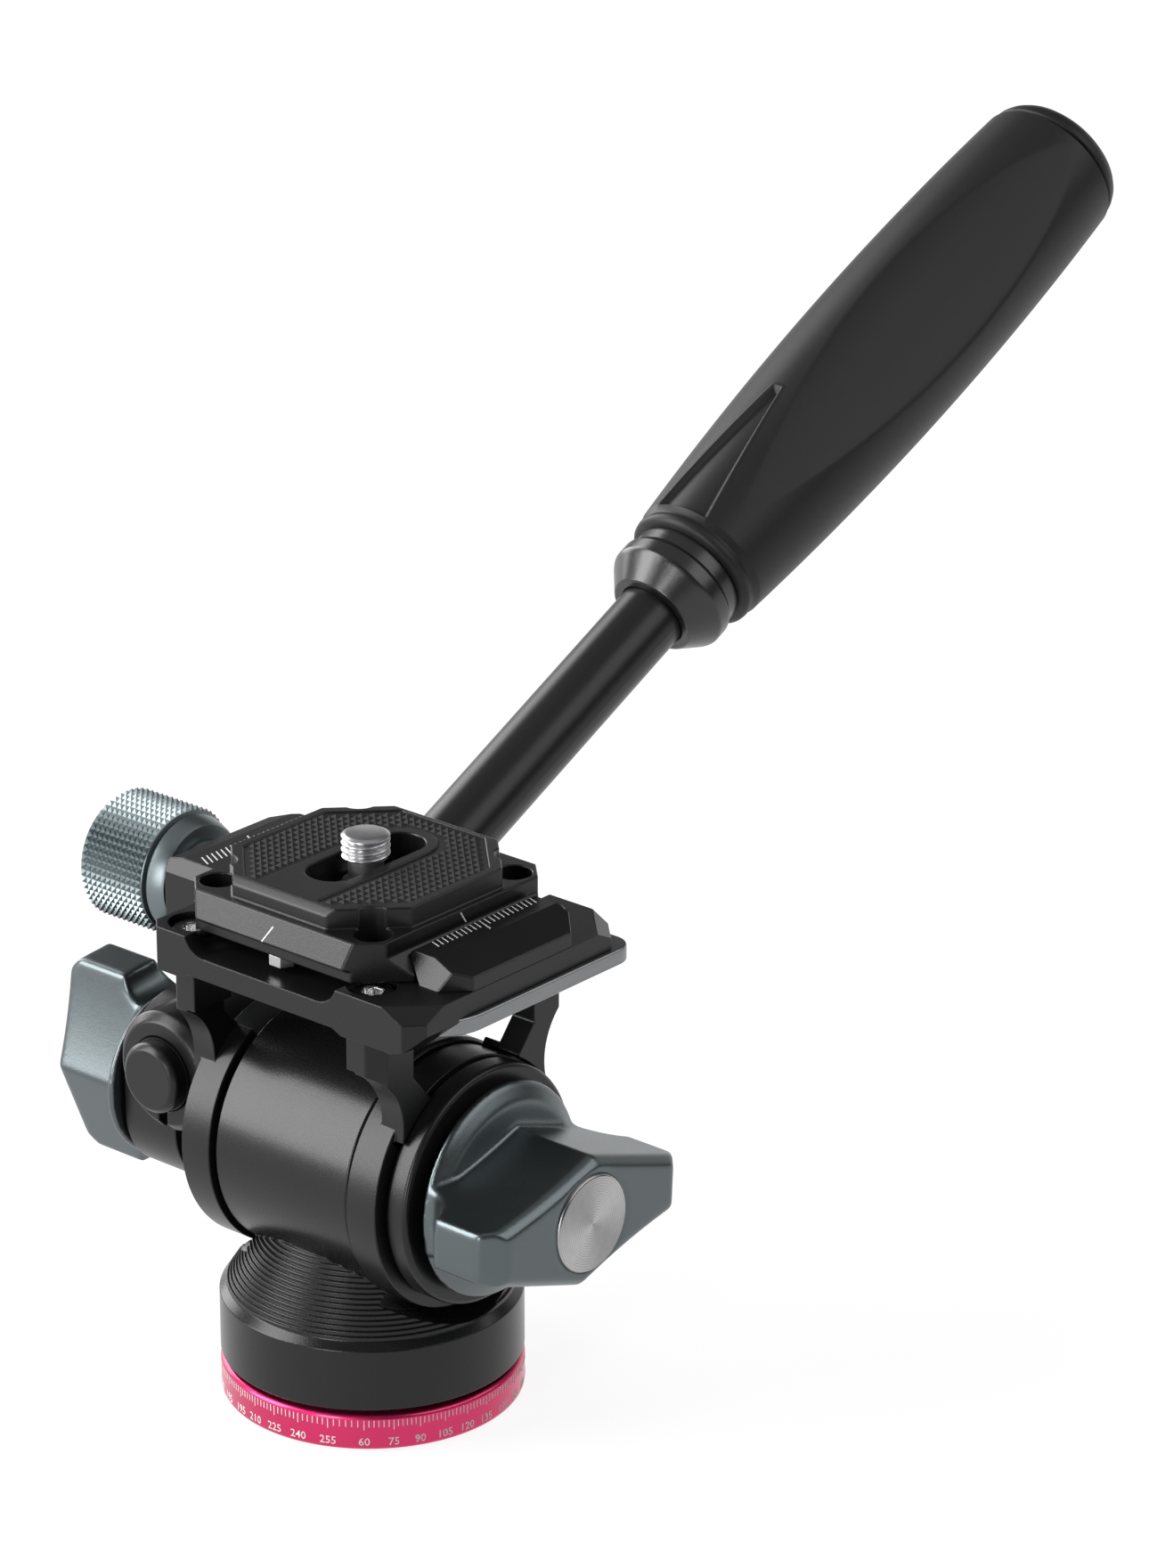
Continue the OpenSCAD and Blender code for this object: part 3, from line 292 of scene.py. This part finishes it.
def melt(node):  # rounds the outer and the inner edges of a cast piece alike
    piece = nodes[node]
    weld = piece.modifiers.new("join", "WELD")
    weld.merge_threshold = weldGap
    skin = piece.modifiers.new("skin", "REMESH")
    skin.mode = "VOXEL"
    skin.voxel_size = castEdges["grain"] * mm
    skin.use_smooth_shade = True
    calm = piece.modifiers.new("calm", "SMOOTH")
    calm.factor = castEdges["strength"]
    calm.iterations = castEdges["rounds"]


for node in castEdges["nodes"]:
    melt(node)
for group in ("wide", "fine", "thin", "hair"):
    for node in softEdges[group]["nodes"]:
        soften(node, softEdges[group]["size"])
for entry in frame["record"]["subparts"]:
    paint(nodes[entry["node"]], ownFinish.get(entry["node"], entry["material_slot"]))
print("cad pieces finished")


# white degree scale on the crimson ring
dial = {"r": 20.0, "top": 4.35, "first": -106.7, "ticks": 6, "short": 0.95, "long": 1.35, "wide": 0.12, "proud": 0.02,
        "sunk": 0.10, "digitHigh": 1.06, "digitLow": 0.78, "digitShare": 0.69, "digitDeep": 0.03, "digitSwell": 0.004,
        "seen": [195, 210, 225, 240, 255, 60, 75, 90, 105, 120, 135, 150, 165, 180],
        "gaps": [9.4, 10.2, 10.7, 12.0, 13.7, 11.1, 10.0, 10.0, 9.8, 9.7, 10.2, 10.2, 10.2],
        "next": 270, "nextCount": 20, "labelStep": 15}


def dialPlaces():  # angle from the first label and value of each label, all round the ring
    places = [0.0]
    for gap in dial["gaps"]:
        places.append(places[-1] + gap)
    step = (360 - places[-1]) / (dial["nextCount"] + 1)
    rest = range(dial["nextCount"])
    places += [places[-1] + step * (k + 1) for k in rest]
    return places, dial["seen"] + [(dial["next"] + dial["labelStep"] * k) % 360 for k in rest]


def onDial(along, z, out):  # a place on the ring, along its edge in mm from the first label
    angle = math.radians(dial["first"]) + along / dial["r"]
    r = dial["r"] + out
    return Vector((r * math.cos(angle), r * math.sin(angle), z)) * mm


def dialBar(form, along, low, high, wide):
    outline = [(along - wide / 2, low), (along + wide / 2, low), (along + wide / 2, high), (along - wide / 2, high)]
    rings(form, [[onDial(x, z, -dial["sunk"]) for x, z in outline], [onDial(x, z, dial["proud"]) for x, z in outline]])


def makeDialTicks():
    form = bmesh.new()
    places = dialPlaces()[0]
    for here, there in zip(places, places[1:] + [360.0]):
        for tick in range(dial["ticks"]):
            along = dial["r"] * math.radians(here + (there - here) * tick / dial["ticks"])
            dialBar(form, along, dial["top"] - dial["short" if tick else "long"], dial["top"], dial["wide"])
    return addPiece("dial_ticks", meshOf("dialTicks", form), "base", "white_paint")


def makeDialNumbers():
    form = bmesh.new()
    for place, value in zip(*dialPlaces()):
        curve = bpy.data.curves.new("digits", "FONT")
        curve.body = str(value)
        curve.size = dial["digitHigh"] / dial["digitShare"]
        curve.align_x = "CENTER"
        curve.resolution_u = 2
        curve.extrude = dial["digitDeep"]
        curve.offset = dial["digitSwell"]
        words = bpy.data.objects.new("digits", curve)
        bpy.context.scene.collection.objects.link(words)
        bpy.context.view_layer.update()
        flat = bpy.data.meshes.new_from_object(words.evaluated_get(bpy.context.evaluated_depsgraph_get()))
        for corner in flat.vertices:
            x, y, z = corner.co
            out = dial["proud"] if z > 0 else -dial["sunk"]
            corner.co = onDial(dial["r"] * math.radians(place) + x, dial["digitLow"] + y, out)
        form.from_mesh(flat)
        bpy.data.objects.remove(words)
        bpy.data.curves.remove(curve)
        bpy.data.meshes.remove(flat)
    return addPiece("dial_numbers", meshOf("dialNumbers", form), "base", "white_paint")


makeDialTicks()
makeDialNumbers()
print("dial marked")


# white rulers on both jaws and index lines on the plate
ruler = {"pitch": 0.88, "count": 22, "middle": 11, "wide": 0.19, "proud": 0.03, "sunk": 0.10,
         "fixed_jaw": {"side": 1, "rear": 11.5, "inset": 0.5, "short": 1.6, "long": 2.7, "lean": -0.33},
         "moving_jaw": {"side": -1, "rear": 9.3, "inset": 2.0, "short": 2.2, "long": 2.9, "lean": 0.5}}
indexLine = {"wide": 0.22, "proud": 0.02, "sunk": 0.12, "foot": 1.8, "lean": 1.1, "shelf": 5.4, "neck": 3.5,
             "inset": 2.4, "slant": 1.0, "sideSlant": 0.5, "margin": 0.2, "sideMargin": 0.3, "wallUp": (0, -3.3, 1)}


def bar(form, corners, up, proud, sunk):  # a thin slip on a flat face, standing slightly proud of it
    rise = Vector(up).normalized()
    rings(form, [[(Vector(c) - rise * sunk) * mm for c in corners], [(Vector(c) + rise * proud) * mm for c in corners]])


def makeRuler(node, body):
    low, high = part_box(node)
    s = ruler[node]
    side = s["side"]
    top = high.z / mm
    lip = (low.x if side > 0 else -high.x) / mm + s["inset"]
    h = ruler["wide"] / 2
    form = bmesh.new()
    for k in range(ruler["count"]):
        y = s["rear"] - k * ruler["pitch"]
        reach = s["long"] if k == ruler["middle"] else s["short"]
        a, b, far = side * lip, side * (lip + reach), y + s["lean"] * reach
        bar(form, [(a, y - h, top), (b, far - h, top), (b, far + h, top), (a, y + h, top)], (0, 0, 1), ruler["proud"],
            ruler["sunk"])
    return addPiece("ruler_" + node, meshOf("ruler_" + node, form), body, "white_paint")


def makeIndexLines():
    near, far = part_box("plate_body")
    s = indexLine
    h = s["wide"] / 2
    z = near.z / mm
    form = bmesh.new()
    foot = (near.y / mm, z + s["foot"] + s["margin"])
    shelf = (near.y / mm + s["lean"], z + s["shelf"] - s["margin"])
    a = s["slant"]
    front = [(-a - h, *foot), (h - a, *foot), (a + h, *shelf), (a - h, *shelf)]
    bar(form, front, s["wallUp"], s["proud"], s["sunk"])
    for side in (-1, 1):
        x = side * (far.x / mm - s["inset"])
        b, low, top = s["sideSlant"], z + s["neck"], z + s["shelf"] - s["sideMargin"]
        wall = [(x, b - h, low), (x, b + h, low), (x, h - b, top), (x, -h - b, top)]
        bar(form, wall, (side, 0, 0), s["proud"], s["sunk"])
    return addPiece("plate_index", meshOf("plateIndex", form), "plate", "white_paint")


makeRuler("fixed_jaw", "yoke")
makeRuler("moving_jaw", "jaw")
makeIndexLines()
print("rulers marked")


# knurl, as rows of pyramids round a turned knob
clampKnob = {
    "r": 8.8, "root": 8.25, "teeth": 54, "rows": 12, "start": 5.9, "length": 10.9, "smoothDeg": 24,
    "inner": [(4.6, 0.0), (5.2, 0.2), (5.2, 2.2), (5.0, 2.6), (5.0, 2.65), (6.4, 2.65), (7.1, 2.8), (7.4, 3.2),
              (7.9, 4.7), (8.0, 5.05), (7.9, 5.25), (7.5, 5.3), (7.5, 5.6), (8.2, 5.8)],  # radius and place, to the knurl
    "outer": [(8.1, 17.0), (7.4, 17.58), (7.0, 17.6), (6.6, 17.4)],  # from the knurl to the end
}
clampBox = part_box("qr_grip")


def makeKnurledKnob(name, knob, place, body, replaced):
    form = bmesh.new()
    count = knob["teeth"]
    pitch = knob["length"] / knob["rows"]

    def ring(r, along, shift=0.0):
        return [form.verts.new(place(2 * math.pi * (i + shift) / count, along, r)) for i in range(count)]

    inner = [ring(r, along) for r, along in knob["inner"]]
    grooves = [ring(knob["root"], knob["start"] + pitch * j) for j in range(knob["rows"] + 1)]
    tips = [ring(knob["r"], knob["start"] + pitch * (j + 0.5), 0.5) for j in range(knob["rows"])]
    outer = [ring(r, along) for r, along in knob["outer"]]
    for part, finish in ((inner + [grooves[0]], 1), ([grooves[-1]] + outer, 0)):
        for low, high in zip(part, part[1:]):
            for k in range(count):
                face = form.faces.new((low[k], low[(k + 1) % count], high[(k + 1) % count], high[k]))
                face.material_index = finish
    for low, high, tip in zip(grooves, grooves[1:], tips):
        for k in range(count):
            corners = [low[k], low[(k + 1) % count], high[(k + 1) % count], high[k]]
            for c in range(4):
                form.faces.new((corners[c], corners[(c + 1) % 4], tip[k]))
    form.faces.new(inner[0])
    form.faces.new(outer[-1])
    # the knurl's teeth and end take the lighter copy, painted light; the inner bands take the plain anodising
    piece = addPiece(name, meshOf(name, form, knob["smoothDeg"]), body, "blue_grey_knurled", replaced)
    piece.data.materials.append(finishes["blue_grey_anodised"])
    return piece


def clampPlace(angle, along, r):
    axis = (clampBox[0] + clampBox[1]) / 2
    return Vector((clampBox[1].x - along * mm, r * mm * math.cos(angle), axis.z + r * mm * math.sin(angle)))


makeKnurledKnob("clamp_knob", clampKnob, clampPlace, "qr_knob", ["qr_grip"])
print("clamp knob knurled")


# studded rubber on the plate
pad = {"pitch": 1.18, "high": 0.42, "sink": 0.06, "span": 34, "levelGap": 1e-6, "topGap": 1e-5}


def topFaces(form, z):
    return [f for f in form.faces if all(abs(v.co.z - z) < pad["levelGap"] for v in f.verts)]


def inside(point, outline):
    hit = False
    for a, b in zip(outline, outline[1:] + outline[:1]):
        if (a.y > point.y) != (b.y > point.y) and point.x < (b.x - a.x) * (point.y - a.y) / (b.y - a.y) + a.x:
            hit = not hit
    return hit


def makePads():
    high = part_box("plate_pads")[1]
    top = high.z / mm
    form = bmesh.new()
    form.from_mesh(nodes["plate_pads"].data)
    bmesh.ops.remove_doubles(form, verts=form.verts, dist=weldGap)
    for corner in form.verts:
        if corner.co.z > high.z - pad["topGap"]:
            corner.co.z -= pad["high"] * mm
    outlines = [[Vector(e.co.xy) for e in face.verts] for face in topFaces(form, (top - pad["high"]) * mm)]
    half = pad["pitch"] / 2
    columns = int(pad["span"] / pad["pitch"])
    for i in range(-columns // 2, columns // 2 + 1):
        for j in range(-columns // 2, columns // 2 + 1):
            x, y = (i + 0.5) * pad["pitch"], (j + 0.5) * pad["pitch"]
            base = [(x - half, y - half), (x + half, y - half), (x + half, y + half), (x - half, y + half)]
            if not all(any(inside(Vector(p) * mm, o) for o in outlines) for p in base):
                continue
            z = top - pad["high"]
            foot = [form.verts.new(Vector((px, py, z - pad["sink"])) * mm) for px, py in base]
            tip = form.verts.new(Vector((x, y, top)) * mm)
            form.faces.new(foot)
            for k in range(4):
                form.faces.new((foot[k], foot[(k + 1) % 4], tip))
    return addPiece("plate_studs", meshOf("plateStuds", form), "plate", "pad_rubber", ["plate_pads"])


makePads()
print("pads studded")


# threaded camera screw
cameraScrew = {"foot": 74.6, "top": 77.9, "r": 3.175, "root": 2.72, "pitch": 0.9, "shank": 2.3, "head": 67.0,
               "headTop": 69.8, "headR": 5.2, "columns": 72, "perTurn": 14, "chamfer": 0.2, "crown": 0.55,
               "crest": 0.08, "flank": 0.36, "runIn": 0.5, "runInFrom": 0.35, "shankLow": 0.02, "shankHigh": 0.25,
               "smoothDeg": 40,
               "neck": [(0.05, 0.50), (0.0, 0.42)],  # out from the root and down from the top
               "rim": [(0.06, 0.40), (0.0, 0.34), (0.02, 0.26), (0.5, 0.02), (0.58, 0.0)]}  # in and down


def makeCameraScrew():
    s = cameraScrew
    columns = s["columns"]
    form = bmesh.new()
    rows = []

    def even(r, z):
        rows.append([(r, z)] * columns)

    c = s["chamfer"]
    for r, z in ((s["headR"] - c, s["head"]), (s["headR"], s["head"] + c), (s["headR"], s["headTop"] - c),
                 (s["headR"] - c, s["headTop"]), (s["shank"], s["headTop"] + s["shankLow"]),
                 (s["shank"], s["foot"] - s["shankHigh"])):
        even(r, z)
    steps = int((s["top"] - s["crown"] - s["foot"]) / (s["pitch"] / s["perTurn"]))
    for j in range(steps + 1):
        z = s["foot"] + j * s["pitch"] / s["perTurn"]
        line = []
        for k in range(columns):
            turn = (z / s["pitch"] - k / columns) % 1.0
            peak = 1 - min(1.0, max(0.0, abs(turn - 0.5) - s["crest"]) / s["flank"])
            fade = min(1.0, s["runInFrom"] + (z - s["foot"]) / s["runIn"])
            line.append((s["root"] + (s["r"] - s["root"]) * peak * fade, z))
        rows.append(line)
    for out, down in s["neck"]:
        even(s["root"] + out, s["top"] - down)
    for into, down in s["rim"]:
        even(s["r"] - into, s["top"] - down)
    points = [[Vector((r * math.cos(2 * math.pi * k / columns), r * math.sin(2 * math.pi * k / columns), z)) * mm
               for k, (r, z) in enumerate(line)] for line in rows]
    rings(form, points)
    return addPiece("camera_stud", meshOf("cameraStud", form, s["smoothDeg"]), "camera_stud", "steel", ["camera_screw"])


makeCameraScrew()
print("camera screw threaded")


# spun caps in the wing knobs
spunCap = {"pitch": 0.34, "deep": 0.02, "columns": 128, "chamfer": 0.25, "start": 0.35, "margin": 0.4, "dimple": 0.12,
           "smoothDeg": 60}


def makeCap(name, node, body, side):
    low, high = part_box(node)
    centre = (low + high) / 2
    radius = (high.z - low.z) / 2 / mm
    outer = (high.x if side > 0 else -low.x) / mm
    inner = (low.x if side > 0 else -high.x) / mm
    columns = spunCap["columns"]
    edge = spunCap["chamfer"]
    profile = [(radius, inner), (radius, outer - edge), (radius - edge, outer)]
    count = int((radius - spunCap["margin"]) / spunCap["pitch"])
    for k in range(count):
        r = radius - spunCap["start"] - k * spunCap["pitch"]
        profile.append((r, outer - spunCap["deep"]))
        profile.append((r - spunCap["pitch"] / 2, outer))
    profile.append((spunCap["dimple"], outer - spunCap["dimple"]))
    form = bmesh.new()
    rings(form, [[Vector((side * x * mm, centre.y + r * mm * math.cos(2 * math.pi * k / columns),
                          centre.z + r * mm * math.sin(2 * math.pi * k / columns))) for k in range(columns)]
                 for r, x in profile])
    return addPiece(name, meshOf(name, form, spunCap["smoothDeg"]), body, "spun_aluminium", [node])


makeCap("tilt_cap_spun", "tilt_wing_cap", "tilt_lock", 1)
makeCap("handle_cap_spun", "handle_wing_cap", "handle_lock", -1)
print("caps spun")


# moulded grip with two leaf-shaped dishes and two wedge-shaped recesses
grip = {"foot": (-25.3, 94.488, 81.381), "rise": 26.5, "length": 92.0, "r": 12.4, "belly": 54.0, "bow": 593.0,
        "lip": [(0.0, 8.9), (0.2, 9.5), (0.6, 9.85), (1.2, 9.95), (1.6, 9.8), (1.9, 9.65), (2.2, 9.7)],
        "leafAt": (135, 315), "leafFrom": 7.5, "leafTo": 90.0, "leafHalf": 41.0, "leafDeep": 0.82,
        "wedgeAt": (90, 270), "wedgeFrom": 2.9, "wedgeTo": 27.6, "wedgeFoot": 4.5, "wedgeTip": 0.75, "wedgeDeep": 0.8,
        "wall": 0.5, "rim": 0.12, "rimAt": 0.2, "rimWide": 0.35, "border": 0.95, "roll": 0.11, "leafSkew": 1.2,
        "leafBlunt": 0.6, "lipEnd": 2.9, "fineStep": 0.3, "fineRows": 90, "coarseRows": 80, "fineColumns": 64,
        "columns": 32, "smoothDeg": 50}


def ease(x):  # smooth step from 0 to 1
    x = min(1.0, max(0.0, x))
    return x * x * (3 - 2 * x)


def dish(q):  # section of a leaf: hollow inside, its border rolled over softly
    edge, roll = grip["border"], grip["roll"]
    if q < edge:
        return 1 - q * q
    x = min(1.0, (q - edge) / roll)
    return (1 - edge ** 2) * (2 * x ** 3 - 3 * x ** 2 + 1) - 2 * edge * roll * (x ** 3 - 2 * x ** 2 + x)


def awayFrom(angle, centre):  # shortest way round, in degrees
    return abs((angle - centre + 180) % 360 - 180)


def gripRadius(angle, s):
    g = grip
    r = g["r"] - (s - g["belly"]) ** 2 / (2 * g["bow"])
    lip = g["lip"] + [(g["lipEnd"], r)]
    for (s0, r0), (s1, r1) in zip(lip, lip[1:]):
        if s0 <= s < s1:
            return r0 + (r1 - r0) * (s - s0) / (s1 - s0)
    u = (s - g["leafFrom"]) / (g["leafTo"] - g["leafFrom"])
    cut = 0.0
    if 0 < u < 1:
        half = g["leafHalf"] * math.sin(math.pi * u ** g["leafSkew"]) ** g["leafBlunt"]
        deep = g["leafDeep"] * r * (1 - math.cos(math.radians(half)))
        cut += sum(deep * dish(awayFrom(angle, a) / half) for a in g["leafAt"])
    for a in g["wedgeAt"]:
        v = (s - g["wedgeFrom"]) / (g["wedgeTo"] - g["wedgeFrom"])
        wide = g["wedgeFoot"] + (g["wedgeTip"] - g["wedgeFoot"]) * v
        into = min(wide - r * math.radians(awayFrom(angle, a)), s - g["wedgeFrom"], g["wedgeTo"] - s)
        cut += g["wedgeDeep"] * ease(into / g["wall"])
        cut -= g["rim"] * max(0.0, 1 - abs(into + g["rimAt"]) / g["rimWide"])
    return r - cut


def makeGrip():
    rise = math.radians(grip["rise"])
    along, across = Vector((0, math.cos(rise), math.sin(rise))), Vector((0, math.sin(rise), -math.cos(rise)))
    angles = []
    few = grip["columns"]
    for quarter in range(4):  # finer columns where the wedges lie
        start = quarter * 90 - 22.5
        count = grip["fineColumns"] if quarter % 2 else few
        angles += [start + 45 * k / count for k in range(count)]
        angles += [start + 45 + 45 * k / few for k in range(few)]
    stops = [s for s, r in grip["lip"]] + [grip["lipEnd"] + grip["fineStep"] * k for k in range(grip["fineRows"])]
    rest = grip["coarseRows"]
    stops += [stops[-1] + (grip["length"] - stops[-1]) * (k + 1) / rest for k in range(rest)]
    form = bmesh.new()
    rings(form, [[(Vector(grip["foot"]) + along * s + (Vector((1, 0, 0)) * math.cos(math.radians(a))
                  + across * math.sin(math.radians(a))) * gripRadius(a, s)) * mm for a in angles] for s in stops])
    return addPiece("moulded_grip", meshOf("mouldedGrip", form, grip["smoothDeg"]), "handle", "grip_rubber", ["grip"])


makeGrip()
print("grip moulded")


# plain pale floor, soft studio light and the photograph's view
studio = {"floor": 4.0, "drop": 0.0002, "floorColour": (0.16, 0.16, 0.16), "floorGlow": 0.87, "fill": 0.06}
lamps = [
    {"name": "keyBox", "at": (-0.61, -0.69, 0.46), "aim": (0, 0, 0.05), "size": (0.56, 0.92), "power": 15.0},
    {"name": "frontBox", "at": (0.17, -0.94, 0.24), "aim": (0, 0, 0.03), "size": (0.26, 0.52), "power": 4.4},
    {"name": "leftBox", "at": (-0.95, 0.15, 0.45), "aim": (0, 0, 0.05), "size": (0.60, 0.80), "power": 8.5},
    {"name": "rightBox", "at": (0.85, 0.40, 0.80), "aim": (0, 0, 0.05), "size": (1.50, 0.70), "power": 6.5},
    {"name": "backBox", "at": (-0.39, 1.43, 0.30), "aim": (0, 0, 0.05), "size": (1.80, 0.60), "power": 3.0},
    {"name": "topBox", "at": (0.15, 0.20, 1.40), "aim": (0, 0.1, 0.0), "size": (1.60, 1.60), "power": 3.0},
]
shot = {"at": (0.4617, -0.49408, 0.35395), "turn": 40.81, "down": 21.74, "focal": 6450, "tall": 1760, "sensor": 36.0}


def makeStudio():
    form = bmesh.new()
    half = studio["floor"]
    form.faces.new([form.verts.new((x, y, 0)) for x, y in ((-half, -half), (half, -half), (half, half), (-half, half))])
    floor = bpy.data.objects.new("floor", meshOf("floor", form))
    floor.location.z = -studio["drop"]
    bpy.context.scene.collection.objects.link(floor)
    finish = Finish("paleFloor", Roughness=0.9, Specular_IOR_Level=0.0, Emission_Strength=studio["floorGlow"])
    finish.surface.inputs["Base Color"].default_value = (*studio["floorColour"], 1)
    seen = [finish.node("ShaderNodeLightPath", out=kind) for kind in ("Is Camera Ray", "Is Glossy Ray",
                                                                     "Is Transmission Ray")]
    direct = seen[0].math("MAXIMUM", seen[0].math("MAXIMUM", seen[0], seen[1]), seen[2])
    finish.feed("Emission Color", finish.blend(direct, (0, 0, 0), (1, 1, 1)))
    floor.data.materials.append(finish.material)

    world = bpy.data.worlds.new("studio")
    bpy.context.scene.world = world
    world.use_nodes = True
    back = world.node_tree.nodes["Background"]
    back.inputs["Strength"].default_value = studio["fill"]
    back.inputs["Color"].default_value = (1, 1, 1, 1)

    for lamp in lamps:
        light = bpy.data.lights.new(lamp["name"], "AREA")
        light.shape = "RECTANGLE"
        light.size, light.size_y = lamp["size"]
        light.energy = lamp["power"]
        holder = bpy.data.objects.new(lamp["name"], light)
        holder.location = lamp["at"]
        holder.rotation_euler = (Vector(lamp["aim"]) - Vector(lamp["at"])).to_track_quat("-Z", "Y").to_euler()
        bpy.context.scene.collection.objects.link(holder)


def makeCamera():
    lens = bpy.data.cameras.new("shot")
    lens.sensor_width = shot["sensor"]
    lens.lens = shot["focal"] * shot["sensor"] / shot["tall"]
    lens.clip_start = 0.01
    camera = bpy.data.objects.new("shot", lens)
    camera.location = shot["at"]
    camera.rotation_euler = (math.radians(90 - shot["down"]), 0, math.radians(shot["turn"]))
    bpy.context.scene.collection.objects.link(camera)
    bpy.context.scene.camera = camera
    bpy.context.scene.view_settings.view_transform = "Standard"


makeStudio()
makeCamera()
print("studio set")
